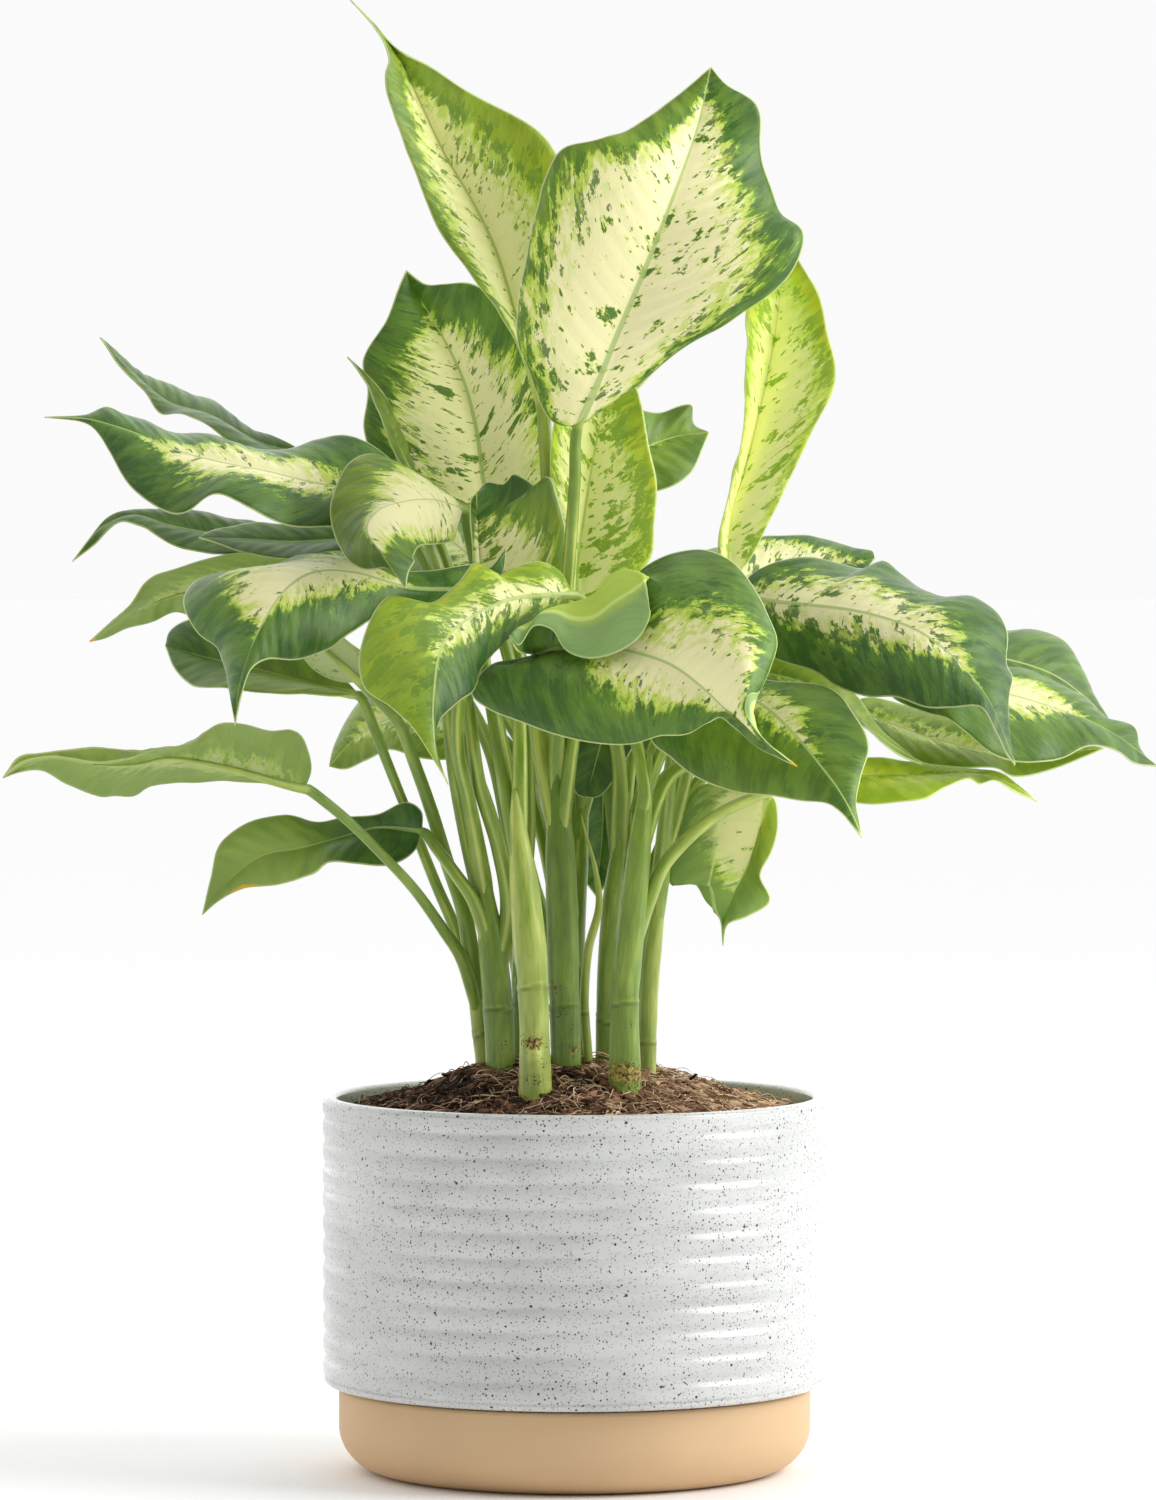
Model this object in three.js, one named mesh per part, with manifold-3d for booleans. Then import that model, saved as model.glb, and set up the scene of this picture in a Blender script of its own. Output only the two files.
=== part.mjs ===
// A potted dieffenbachia, in millimetres, +Z up. The origin is the centre of the
// tray's underside. +X is to the right of someone facing the plant's front, and
// +Y points away from them.
//
// The pot, its drip tray, the soil, the canes and the leaves are separate solids.
// A leaf is one solid with its own stalk, because it grew as one piece.

import * as THREE from 'three';
import { mergeVertices } from 'three/addons/utils/BufferGeometryUtils.js';
import Module from 'manifold-3d';

const wasm = await Module();
wasm.setup();

// ---- Driving dimensions, mm ------------------------------------------------

const TOUCH_GAP = 0.35;          // between pieces that rest on or grow from each other

const POT_RADIUS = 90;           // crest of the ridges
const POT_HEIGHT = 133.8;        // rim above the surface that the tray stands on
const POT_WALL = 4;
const SLEEVE_BOTTOM = 31;        // lower edge of the ridged wall
const RIDGE_PITCH = 8.6;
const RIDGE_COUNT = 11;
const RIDGE_DEPTH = 1.1;
const RIM_BAND = 6.5;            // plain band above the highest ridge
const RIM_EDGE = 1;              // bevel at the rim
const SLEEVE_EDGE = 3;           // bevel at the ridged wall's lower edge
const STEP_HEIGHT = 8;           // of the slope inside, where the wall narrows to the foot
const FOOT_RADIUS = 79.5;        // part of the pot that stands inside the tray
const FOOT_CORNER = 14;
const DRAIN_HOLES = 5;
const DRAIN_RADIUS = 4.5;
const DRAIN_CIRCLE = 42;

const TRAY_RADIUS = 84.3;
const TRAY_CORNER = 16.5;
const TRAY_WALL = 3;
const TRAY_HEIGHT = 30;

const SOIL_EDGE_HEIGHT = 125.2;  // where the soil meets the pot's wall
const SOIL_MOUND = 19.8;         // how far it rises around the canes
const SOIL_LUMP = 0.7;           // height of its shallow lumps
const SOIL_GAP = 0.9;            // between the soil and the pot's wall
const CANE_DEPTH = 34;           // how deep a cane stands in the soil

const BLADE_THICKNESS = 1.1;
const BLADE_START = 0.06;        // share of the rib at which the first full section lies
const BLADE_BOW = 0.1;           // rise between rib and margin, as a share of that width
const MARGIN_LEAD = 0.86;        // below 1, the margins run ahead of the rib near the base
const RIB_KEEL = 1.6;            // how far the rib stands out below the blade at its base
const STALK_RADIUS = 2.1;
const STALK_FOOT = 1.25;         // the stalk's width at the cane, as a share of the above
const STALK_HEAD = 0.9;          // and at the blade
const STALK_RUN_ON = 0.12;       // share of the rib that the stalk's curve is aimed along
const ROW_SPACING = 15;          // between two cross sections of a leaf
const STALK_STEP = 26;           // between two cross sections of its stalk

const TURN_STEPS = 36;           // facets around the pot and the tray
const SOIL_STEPS = 28;           // around the soil
const CANE_SIDES = 8;
const CANE_STEPS = 7;            // along a cane

// The outlines below were read off a front view, as points in the plane y = 0.
// A point that lies behind or before that plane looks smaller or larger from
// where the view was taken, so `seen` puts it back to its real place.
const EYE = new THREE.Vector3(1.2, -2526, 337);

// ---- Leaves ----------------------------------------------------------------
//
// rib:   midrib from the blade's base to its tip, [x, z]
// left, right: the margins between base and tip, [x, z], as they lie when the
//        upper side is seen with the tip up
// leftMid: where a blade folds, the line halfway between its midrib and its left
//        margin; elsewhere that line follows from the other two
// ribY, leftY, rightY, leftMidY: how far each line lies behind the plane y = 0, as
//        values spread evenly over its points
// stalk: from the cane up to the blade's base, [x, z, y]

const LEAVES = [
  {
    name: 'leaf_top_front',
    rib: [[1, 372], [7, 385], [14, 402], [25, 428], [35, 454], [44, 480], [48.5, 500]],
    ribY: [-14, -22, -26, -24, -14, -6],
    left: [[-8, 374], [-17, 392], [-21, 406], [-17, 432], [-11, 458], [-4, 471], [10, 474.5],
      [26, 481.5], [37, 490]],
    leftY: [-14, -24, -20, -24, -10],
    right: [[20, 385], [40, 402], [60, 413], [76, 426], [81, 440], [73, 449], [66, 471],
      [64, 486], [54, 493.5]],
    rightY: [-16, -26, -18, -8, -8],
    stalk: [[-6, 254, -8], [-5.5, 275, -10], [-4, 300, -8], [-1.5, 330, -11], [0, 352, -14]],
  },
  {
    name: 'leaf_top_left',
    rib: [[-12, 380], [-18, 400], [-28, 434], [-36, 451], [-46, 468], [-55, 487], [-62, 502],
      [-70, 513.5], [-80, 524]],
    ribY: [12, 20, 27, 26, 18, 12],
    left: [[-17, 392], [-24, 409], [-40, 430], [-50, 445], [-58, 467], [-65, 486], [-67, 497],
      [-65.5, 503], [-72, 515]],
    leftY: [11, 8, 10, 8, 12],
    right: [[-5, 394], [2, 412], [4, 436], [-1, 458], [-10, 474], [-21, 482.5], [-38, 491.5],
      [-52, 500.5], [-62, 505]],
    rightY: [12, 16, 22, 20, 14],
    stalk: [[-8.5, 246, -6], [-12, 266, -1], [-11.5, 300, 3], [-9.5, 325, 6], [-9, 345, 9],
      [-10.5, 365, 12]],
  },
  {
    name: 'leaf_top_right_young',
    rib: [[54, 318], [55.5, 340], [60.5, 357], [65, 375], [69, 392], [72, 410], [74, 428], [75, 440]],
    ribY: [16, 22, 27, 28, 20],
    left: [[51, 330], [56, 352], [60, 371], [61.5, 385], [61.5, 400], [62, 415], [67, 430]],
    leftY: [15, 15, 13, 16],
    right: [[61, 323], [71.5, 342.5], [85, 371], [92, 385], [93, 393], [90, 405], [87, 418], [80, 431]],
    rightY: [17, 14, 12, 17],
    stalk: [[35, 237, 8], [38, 255, 8], [42, 272, 9], [47, 292, 11], [52, 308, 14]],
  },
  {
    name: 'leaf_upper_left_broad',
    rib: [[-28, 335], [-32, 350], [-35, 372], [-40, 390], [-48, 406], [-55, 418], [-60, 428]],
    ribY: [30, 42, 50, 52, 48],
    left: [[-42, 338], [-58, 348], [-70, 358], [-75.5, 372], [-74, 385], [-75.5, 396], [-67, 410],
      [-63, 421]],
    leftY: [30, 40, 44, 46],
    right: [[-18, 342], [-9, 360], [-9, 382], [-15, 400], [-24, 414], [-36, 423], [-46, 423],
      [-53, 423]],
    rightY: [30, 38, 42, 46],
    stalk: [[-17, 232, 21], [-17, 255, 22], [-19, 280, 24], [-22, 305, 26], [-25, 322, 28]],
  },
  {
    name: 'leaf_upper_left_narrow',
    rib: [[-57, 353], [-62, 363], [-67, 376], [-70, 384], [-75, 391], [-81, 397]],
    ribY: [20, 22, 20, 16],
    left: [[-62, 359], [-66.5, 368], [-69.5, 379], [-73, 387]],
    leftY: [14, 6, 8, 12],
    right: [[-57, 358], [-60, 367], [-64, 377], [-69.5, 386]],
    rightY: [26, 33, 28, 20],
    stalk: [[-19, 222, 18], [-24, 250, 16], [-31, 280, 15], [-40, 308, 15], [-50, 335, 17]],
  },
  {
    name: 'leaf_centre_upright',
    rib: [[0, 306], [1, 325], [4, 345], [8, 368], [13, 388], [17, 402]],
    ribY: [2, 8, 12, 12, 8],
    left: [[-5, 318], [-7, 335], [-8.5, 352], [-8.5, 366], [-5, 382], [6, 396]],
    leftY: [2, 3, 4, 8],
    right: [[14, 314], [27, 325], [28.5, 338], [29.3, 352], [26.5, 365], [24, 380], [20, 394]],
    rightY: [2, 0, 0, 4],
    stalk: [[19, 238, 15], [15, 258, 13], [8, 276, 10], [2, 292, 5]],
  },
  {
    name: 'leaf_small_back',
    rib: [[12, 355], [24, 364], [36, 368.5], [48, 370]],
    ribY: [54, 66, 74, 78],
    left: [[15, 369], [22, 378], [31, 377.5], [42, 380], [43, 373]],
    leftY: [62, 76, 82],
    right: [[20, 347], [29, 349], [36, 351.5], [42, 356.5], [45.5, 364]],
    rightY: [56, 62, 72],
    stalk: [[6, 246, 40], [10, 268, 41], [10, 300, 44], [10, 330, 49]],
  },
  {
    name: 'leaf_far_left_back',
    rib: [[-95, 362], [-112, 366], [-130, 376], [-145, 381], [-158, 392], [-169, 404]],
    ribY: [44, 58, 70, 78, 84],
    left: [[-108, 360], [-120, 365], [-131, 373], [-138, 376.5], [-147, 376.5], [-154, 385], [-163, 395]],
    leftY: [42, 44, 58, 76],
    right: [[-103, 367], [-115, 372], [-127, 380], [-140, 384.5], [-154, 390.5], [-164, 399]],
    rightY: [52, 80, 92, 90],
    stalk: [[-1, 212, 41], [-9, 238, 41], [-20, 262, 40], [-42, 290, 38], [-64, 322, 38],
      [-82, 350, 40]],
  },
  {
    name: 'leaf_left_long',
    rib: [[-60, 350], [-72, 350], [-88, 351], [-110, 356], [-125, 359], [-140, 363], [-160, 371],
      [-175, 375], [-189, 375.5]],
    ribY: [-6, -18, -26, -26, -20, -14],
    left: [[-66, 342], [-75, 337.5], [-88, 336.5], [-102, 337], [-115, 343.5], [-127, 348],
      [-140, 341], [-149, 343.5], [-158, 350.5], [-166, 363.5], [-173, 373]],
    leftY: [-12, -40, -52, -48, -36, -18],
    right: [[-64, 359], [-78, 368], [-92, 368.5], [-107, 364.5], [-117, 366], [-130, 369],
      [-142, 368.5], [-154, 373.5], [-166, 379], [-175, 376]],
    rightY: [-3, 0, -2, 0, -8, -14],
    stalk: [[-27, 184, -6], [-23.5, 200, -7], [-27, 222, -9], [-34, 245, -10], [-37.5, 269, -9],
      [-42, 295, -8], [-48, 320, -7], [-55, 338, -7]],
  },
  {
    name: 'leaf_centre_left_curl',
    rib: [[-40, 343], [-50, 346], [-60, 345.5], [-70, 342], [-74, 335], [-68, 326], [-60, 314.5]],
    ribY: [-1, -30, -52, -68, -76, -80],
    left: [[-42, 336], [-46, 331], [-52, 330], [-56, 329], [-58, 324], [-59.5, 319.5]],
    leftY: [-10, -32, -50, -66, -76],
    right: [[-47, 350], [-60, 356.5], [-72, 361], [-80, 358.5], [-85, 350], [-87, 338],
      [-83, 328], [-75, 322.5], [-67, 322.5], [-62, 319]],
    rightY: [-10, -26, -42, -56, -68, -76],
    stalk: [[-21, 220, -36], [-24, 240, -30], [-28, 264, -15], [-32, 290, -1], [-34, 315, 7],
      [-37.5, 333, 6]],
  },
  {
    name: 'leaf_centre_small',
    rib: [[-33, 317], [-34, 327], [-34.5, 338], [-35, 349]],
    ribY: [-9, -6, -3, -8],
    left: [[-35.8, 321], [-36.6, 330], [-37.3, 339], [-37, 346]],
    leftY: [-8, -5, -5],
    right: [[-22, 317.5], [-8, 316], [-2, 321], [-3, 332], [-4, 339], [-6.6, 348], [-9, 354],
      [-13.4, 351], [-17, 353.5], [-22, 355.5], [-25, 352], [-31, 352.5]],
    rightY: [-8, -3, -6, -8, -4, -4],
    stalk: [[-20.5, 240, -34], [-19.5, 258, -27], [-20.5, 276, -18], [-26, 298, -11]],
  },
  {
    name: 'leaf_left_dark_tip',
    rib: [[-95, 330], [-115, 332], [-130, 334], [-145, 337], [-157, 340.5], [-168, 336.5], [-179, 324]],
    ribY: [18, 28, 34, 36, 36, 34],
    left: [[-101, 325], [-112, 326], [-124, 326.5], [-134, 328], [-145, 330.5], [-154, 337.5],
      [-162, 338.5], [-171, 330]],
    leftY: [14, 10, 16, 26, 34],
    right: [[-101, 336], [-114, 338], [-128, 340.5], [-140, 342.3], [-154, 343.5], [-165, 341],
      [-173, 332]],
    rightY: [26, 46, 48, 40, 36],
    stalk: [[-18, 204, 22], [-24, 232, 26], [-32, 262, 26], [-48, 288, 23], [-70, 312, 19],
      [-86, 325, 17]],
  },
  {
    name: 'leaf_left_dark_lens',
    rib: [[-60, 333], [-80, 332], [-100, 331], [-118, 332], [-134, 332.5]],
    ribY: [2, 2, 3, 5, 6],
    left: [[-70, 328], [-87, 326.5], [-100, 324], [-115, 326.5], [-127, 330.5]],
    leftY: [-2, -16, -12, 0],
    right: [[-70, 336], [-85, 336.5], [-100, 337], [-118, 336.5], [-130, 335]],
    rightY: [4, 12, 15, 12],
    stalk: [[-32, 204, -4], [-38, 224, 1], [-43, 250, 2], [-46, 280, 3], [-49, 305, 3], [-53, 323, 2]],
  },
  {
    name: 'leaf_left_pale',
    rib: [[-78, 312], [-100, 314], [-120, 316], [-140, 313], [-157, 306.5], [-173, 295.5]],
    ribY: [6, 6, 8, 12, 18, 24],
    left: [[-90, 321], [-105, 324.5], [-118, 326.5], [-130, 325.5], [-144, 322], [-152, 317.5],
      [-158, 309], [-164, 304]],
    leftY: [2, -10, -8, 2, 14],
    right: [[-90, 303], [-105, 298], [-120, 298], [-132, 303], [-142, 306.5], [-150, 303.5],
      [-160, 300.5], [-167, 297]],
    rightY: [10, 26, 30, 28, 26],
    stalk: [[-18, 188, 22], [-26, 218, 29], [-36, 250, 31], [-48, 274, 26], [-62, 296, 16],
      [-71, 307, 8]],
  },
  {
    name: 'leaf_left_front',
    rib: [[-29, 316], [-44, 314.5], [-60, 315], [-78, 320], [-92, 320.5], [-102, 315],
      [-110, 304], [-116, 291], [-119.5, 279], [-121, 265.5]],
    ribY: [-17, -24, -34, -50, -66, -76, -82, -84],
    left: [[-36, 311], [-46, 307], [-58, 305], [-67, 306], [-73, 303.5], [-80, 299],
      [-89, 292.5], [-100, 289], [-109, 289.5], [-115, 286], [-118.5, 277]],
    leftY: [-17, -24, -38, -54, -70, -80, -84],
    right: [[-25.5, 320.5], [-24.3, 329.5], [-28.5, 323], [-37, 323.5], [-50, 321], [-62, 320.7],
      [-72, 322.5], [-84, 325], [-97, 325.3], [-110, 321], [-122, 319.3], [-134, 317],
      [-139, 310], [-134, 299], [-126, 291.5], [-123.5, 281], [-122, 271]],
    rightY: [-16, -16, -20, -22, -26, -44, -64, -83],
    stalk: [[-34, 218, -8], [-38, 240, -12.5], [-41.5, 257, -16], [-41, 275, -16],
      [-36, 295, -14], [-31.5, 308, -14]],
  },
  {
    name: 'leaf_centre_left_front',
    rib: [[-1, 312.5], [-12, 312], [-22, 311], [-32, 307], [-43, 300], [-48, 292], [-50, 280],
      [-50.5, 266], [-49, 254], [-45, 244.5]],
    ribY: [-21, -38, -58, -78, -94, -102, -106],
    left: [[-8, 305], [-18, 299.5], [-27, 294], [-32, 287], [-36, 278.5], [-42, 273.5],
      [-48.5, 267], [-49.5, 258], [-47.5, 251]],
    leftY: [-23, -42, -68, -88, -98, -104],
    right: [[-5, 320.5], [-13, 324.5], [-23, 322], [-28, 319.5], [-35, 324], [-42, 316],
      [-50, 310], [-58, 309.5], [-66, 312.5], [-73, 303.5], [-77, 290], [-75, 279], [-66, 272.5],
      [-58, 265], [-51, 254.5]],
    rightY: [-20, -28, -42, -58, -74, -88, -98, -104],
    stalk: [[-4, 236, -9], [-1.5, 252, -11], [0.5, 266, -10], [3, 282, -8], [4, 298, -8],
      [4, 308, -13]],
  },
  {
    name: 'leaf_low_left_back',
    rib: [[-77, 277], [-95, 281], [-115, 286], [-132, 290], [-146, 294]],
    ribY: [18, 28, 40, 50, 56],
    left: [[-84, 276], [-97, 276.3], [-110, 276], [-124, 278], [-134, 278.5], [-142, 285]],
    leftY: [16, 12, 22, 44],
    right: [[-83, 283], [-96, 291], [-112, 299], [-126, 303], [-137, 302.5], [-144, 299]],
    rightY: [24, 44, 62, 62],
    stalk: [[-37.5, 178, 8], [-43, 194, 13], [-49, 208, 16], [-55, 223, 19], [-61, 238, 20],
      [-67, 253, 19], [-72, 266, 18]],
  },
  {
    name: 'leaf_low_left_cream',
    rib: [[-76, 281], [-84, 289], [-95, 298], [-112, 307]],
    ribY: [-2, -6, -10, -14],
    left: [[-72, 287], [-80, 296], [-92, 304], [-102, 307.5]],
    leftY: [-4, -14, -16],
    right: [[-84, 281.5], [-93, 286], [-99, 293], [-106, 300]],
    rightY: [0, 2, -8],
    stalk: [[-36, 187, 4], [-39.5, 199, 4], [-45.5, 217, 8], [-51, 235, 10], [-57, 252, 7],
      [-63, 267, 3], [-70, 275, 0]],
  },
  {
    name: 'leaf_low_left_front',
    rib: [[-96, 243.5], [-110, 247.5], [-125, 251.5], [-145, 254.5], [-158, 252], [-172, 252],
      [-188, 254], [-204, 247]],
    ribY: [-26, -42, -54, -64, -72, -76],
    left: [[-94, 249], [-95, 257], [-99, 263.5], [-108, 265], [-125, 266], [-137, 259],
      [-150, 259], [-170, 257.5], [-190, 256], [-198, 254.5]],
    leftY: [-28, -48, -66, -74, -76, -78],
    right: [[-100, 242.5], [-112, 245.5], [-130, 246], [-150, 244], [-160, 240.5], [-170, 241.5],
      [-180, 244], [-190, 249.5], [-198, 249]],
    rightY: [-24, -30, -38, -50, -68, -76],
    stalk: [[-36, 170, 3], [-40, 182, 1], [-47, 193, -3], [-57, 207, -9], [-68, 219, -15],
      [-79, 230, -20], [-89, 238.5, -24]],
  },
  {
    name: 'leaf_low_left_second',
    rib: [[-54.5, 228], [-70, 229], [-85, 225], [-97, 222], [-112, 219], [-124, 209], [-133, 198]],
    ribY: [4, 10, 14, 16, 18, 18],
    left: [[-57, 221], [-65, 216], [-78, 216], [-88, 217], [-95, 212.5], [-105, 209], [-118, 207.5],
      [-127, 203]],
    leftY: [2, -2, 2, 14, 18],
    right: [[-54.5, 235], [-60, 238.5], [-70, 234], [-82, 233], [-92, 231.5], [-103, 234.5],
      [-115, 232], [-126, 224], [-130, 211]],
    rightY: [4, 10, 18, 16, 16],
    stalk: [[-31, 194, -7], [-36, 203, -9], [-42, 212, -6], [-49, 221.5, -1]],
  },
  {
    name: 'leaf_low_left_far_back',
    rib: [[-38, 264], [-50, 268], [-65, 268], [-78, 261], [-87.5, 251]],
    ribY: [58, 70, 80, 86],
    left: [[-44, 254], [-55, 254], [-66, 257], [-75, 253], [-82, 250]],
    leftY: [56, 58, 74, 84],
    right: [[-42, 273], [-55, 283], [-70, 281], [-80, 271.5], [-86, 259]],
    rightY: [62, 86, 94, 90],
    stalk: [[-1, 180, 38], [-7, 205, 43], [-13, 232, 47], [-20, 254, 52], [-30, 264, 56]],
  },
  {
    name: 'leaf_centre_front',
    rib: [[-14, 291], [0, 293], [12, 293], [22, 291.5], [35, 287], [46, 279], [54, 271.5],
      [60, 266.5], [66, 261], [73, 256], [79.5, 251]],
    ribY: [-38, -46, -58, -72, -88, -102, -110],
    left: [[-12, 293.5], [-7, 295], [-2, 292.5], [5, 289.8], [15, 291.5], [24, 297.5],
      [27, 305.5], [23, 312.5], [21, 319.5], [31, 326], [45, 328.3], [55, 325], [62, 317.5],
      [68, 307.5], [71, 297], [69.5, 287], [66, 277.5], [61.5, 276.5], [61, 270], [68, 260.5]],
    leftY: [-44, -52, -62, -61, -44, -38, -48, -62, -78, -94, -106],
    leftMid: [[-14, 297], [-8, 304], [0, 309], [7, 312.5], [13, 319.5], [19, 321], [26, 317],
      [40, 309], [52, 299], [60, 287], [61, 273], [68, 259.5]],
    leftMidY: [-42, -41, -41, -42, -46, -54, -70, -88, -104],
    right: [[-21, 289.5], [-29, 288], [-34, 284], [-37, 277], [-31, 271.5], [-20, 267],
      [-10, 263.5], [5, 260], [20, 259], [31, 262.3], [40, 262.5], [46, 266], [51, 268.8],
      [57, 264.5], [64, 258.5], [72, 254.6]],
    rightY: [-42, -46, -50, -56, -66, -76, -88, -104],
    stalk: [[26.5, 252, -32], [20, 266, -29], [11, 276, -29], [0, 283, -31], [-8, 288, -34]],
  },
  {
    name: 'leaf_right_long',
    rib: [[58, 312], [70, 310], [85, 308.5], [100, 306.5], [112, 303.5], [122, 299.5],
      [132, 292.5], [141, 283.5], [148, 273.5], [153, 262], [157, 251.3]],
    ribY: [-14, -26, -36, -44, -50, -56, -58],
    left: [[62, 318.5], [70, 323.5], [85, 325.3], [95, 323.5], [103, 322.3], [110, 324.8],
      [117, 320], [125, 314], [134, 310], [142, 310.5], [149, 306], [153, 299], [155, 288],
      [157, 283], [155, 274], [155.3, 260]],
    leftY: [-12, -2, 2, -4, -14, -26, -40, -54],
    right: [[62, 299], [70, 290], [85, 285], [93, 280], [105, 275.8], [115, 275.5], [126, 272],
      [134, 272.5], [145, 273], [150, 263.5], [153.5, 256]],
    rightY: [-18, -34, -48, -60, -62, -60],
    stalk: [[32, 218, -7], [33, 238, -12], [35, 255, -13], [39, 273, -12], [46, 292, -12],
      [53, 305, -12]],
  },
  {
    name: 'leaf_right_back_top',
    rib: [[50, 312], [62, 319], [80, 322], [96, 323], [107, 325]],
    ribY: [34, 44, 56, 62, 66],
    left: [[53, 321], [60, 329], [67, 333.5], [82, 333.8], [92, 332], [100, 329.3], [106, 328]],
    leftY: [40, 58, 74, 70],
    right: [[60, 308], [74, 306], [90, 309], [101, 317]],
    rightY: [32, 36, 44, 58],
    stalk: [[20, 230, 28], [26, 250, 30], [33, 270, 31], [42, 293, 32]],
  },
  {
    name: 'leaf_right_far_back',
    rib: [[112, 292], [130, 292], [150, 290], [170, 284], [182, 275.5], [191.5, 266]],
    ribY: [44, 56, 66, 72, 74],
    left: [[120, 300], [135, 303], [153, 300.3], [166, 300], [175, 295.5], [181, 286], [187, 274]],
    leftY: [50, 74, 90, 88, 80],
    right: [[120, 284], [140, 277], [160, 271], [177, 267]],
    rightY: [42, 46, 54, 66],
    stalk: [[19.5, 214, 31], [26, 232, 38], [42, 254, 42], [70, 276, 43], [94, 287, 43]],
  },
  {
    name: 'leaf_right_far',
    rib: [[108, 281], [124, 281], [140, 279.5], [155, 276.5], [170, 272], [185, 266.5],
      [196, 260], [208, 251]],
    ribY: [6, 12, 18, 22, 24, 24],
    left: [[118, 288], [135, 290], [152, 287.5], [165, 285], [175, 280], [184, 274], [190, 268],
      [199, 264.5], [201.5, 258], [204.5, 253]],
    leftY: [10, 32, 42, 40, 32, 26],
    right: [[115, 274.5], [125, 270.5], [134, 268.5], [141, 263.5], [148, 257.3], [156, 253.3],
      [166, 252.8], [175, 254.5], [184, 258.5], [193, 256], [200, 252]],
    rightY: [4, -8, -10, -4, 8, 20],
    stalk: [[24.5, 234, -31], [33, 247, -25], [46, 255, -20], [58, 261, -12], [70, 267, -4],
      [84, 274, 1], [97, 279, 4]],
  },
  {
    name: 'leaf_right_under',
    rib: [[96, 272], [110, 267], [130, 260], [150, 256], [170, 256], [189, 257.5]],
    ribY: [16, 22, 30, 36, 38],
    left: [[104, 275.5], [120, 271.5], [140, 268], [160, 262], [178, 259.5]],
    leftY: [24, 42, 50, 44],
    right: [[101, 267.5], [107, 262.5], [115, 257], [125, 251.5], [140, 250], [150, 249.5],
      [158, 247.5], [170, 250], [182, 254.5]],
    rightY: [14, 10, 14, 28, 36],
    stalk: [[18, 192, 29], [27, 212, 27], [40, 240, 25], [58, 259, 22], [80, 269, 18]],
  },
  {
    name: 'leaf_right_low_yellow',
    rib: [[92, 248], [108, 247.5], [128, 248], [146, 248], [156, 244.5], [165, 238.5]],
    ribY: [-4, 2, 6, 8, 8],
    left: [[97, 253.5], [108, 253.8], [120, 252.5], [130, 250.7], [142, 250], [151, 249.5], [158, 244.6]],
    leftY: [-2, 8, 12, 10],
    right: [[98, 239], [105, 237], [115, 237.5], [125, 239], [132, 243], [140, 246], [144, 244.3],
      [150, 246], [157, 242]],
    rightY: [-8, -14, -4, 6],
    stalk: [[19.5, 220, 28], [30, 240, 18], [42, 251, 12], [58, 254, 7], [76, 252, 1]],
  },
  {
    name: 'leaf_right_front',
    rib: [[46, 276], [57, 277], [66, 273.5], [74, 267], [82, 258.5], [88, 251], [94, 243],
      [99, 234], [102.5, 225.5]],
    ribY: [-28, -38, -50, -60, -70, -76, -78],
    left: [[50, 282], [60, 283], [75, 281.3], [88, 280.8], [95, 276.5], [100, 269.5], [104, 262.5],
      [105, 257], [102.5, 247], [100.5, 238], [101.5, 231]],
    leftY: [-28, -36, -48, -60, -70, -76],
    right: [[37, 270], [28, 260.5], [35, 254], [42, 248.3], [51, 243.7], [60, 241.5], [70, 240.6],
      [80, 238.7], [90, 237.8], [95, 234.5], [100, 228.5]],
    rightY: [-30, -40, -50, -62, -74, -78],
    stalk: [[28.5, 250, -31], [33, 261, -28], [39, 270, -26]],
  },
  {
    name: 'leaf_right_strip',
    rib: [[56, 284], [68, 284], [80, 281], [93, 274], [105, 264.5], [115, 257.5], [124, 251.5]],
    ribY: [-10, -8, -6, -4, -2],
    left: [[60, 291.5], [70, 293.5], [82, 290.5], [93, 283.5], [102, 272.5], [111, 262.5],
      [118, 256.7]],
    leftY: [-8, 0, 2, 0],
    right: [[60, 278], [72, 272], [84, 268.5], [95, 266], [102, 264.5], [109, 259.5], [116, 254.8]],
    rightY: [-14, -22, -16, -6],
    stalk: [[32, 218, 8], [37, 236, 1], [41, 252, -6], [46, 268, -11], [51, 278, -12]],
  },
  {
    name: 'leaf_right_hanging',
    rib: [[69, 241.5], [67, 231], [63, 218], [57, 206], [53.5, 196], [53, 187]],
    ribY: [-12, 0, 8, 10, 6],
    left: [[71.5, 239.5], [72.6, 230], [70.5, 221], [66, 211.5], [69.5, 202.5], [62, 198], [54.5, 195]],
    leftY: [-10, -2, 2, 4],
    right: [[62, 243.5], [52, 245.5], [43, 243.5], [38.5, 236], [35, 222], [34.5, 209], [41, 209.5],
      [47, 202], [52, 197.5]],
    rightY: [-6, 8, 14, 14, 8],
    stalk: [[23, 196, -32], [27.5, 206, -29], [31, 214.5, -28], [37, 222, -27], [45, 229.5, -24],
      [53, 235, -20], [61, 238.8, -16]],
  },
  {
    name: 'leaf_back_dark',
    rib: [[6, 290], [9, 278], [10, 255], [10, 230], [8, 204]],
    ribY: [66, 78, 82, 80, 72],
    left: [[18, 287], [27, 268], [27, 245], [20, 222]],
    leftY: [64, 74, 76, 74],
    right: [[-6, 286], [-14, 268], [-12, 244], [-3, 220]],
    rightY: [64, 72, 76, 74],
    stalk: [[2.5, 250, 43], [2, 266, 50], [3, 280, 56], [4, 290, 61]],
  },
  {
    name: 'leaf_back_rounded',
    rib: [[14, 290], [13, 278], [10, 262], [4, 240]],
    ribY: [24, 20, 20, 22],
    left: [[22, 280], [22, 262], [16, 250], [9, 240.5]],
    leftY: [22, 20, 21],
    right: [[5, 285], [0, 270], [-1, 252], [0.5, 241.5]],
    rightY: [24, 22, 22],
    stalk: [[18, 220, 28], [13, 240, 30], [13, 262, 31], [14, 284, 29]],
  },
  {
    name: 'leaf_rear_left',
    rib: [[-30, 318], [-42, 330], [-58, 338], [-76, 340], [-92, 334]],
    ribY: [62, 88, 112, 132, 146],
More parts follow.
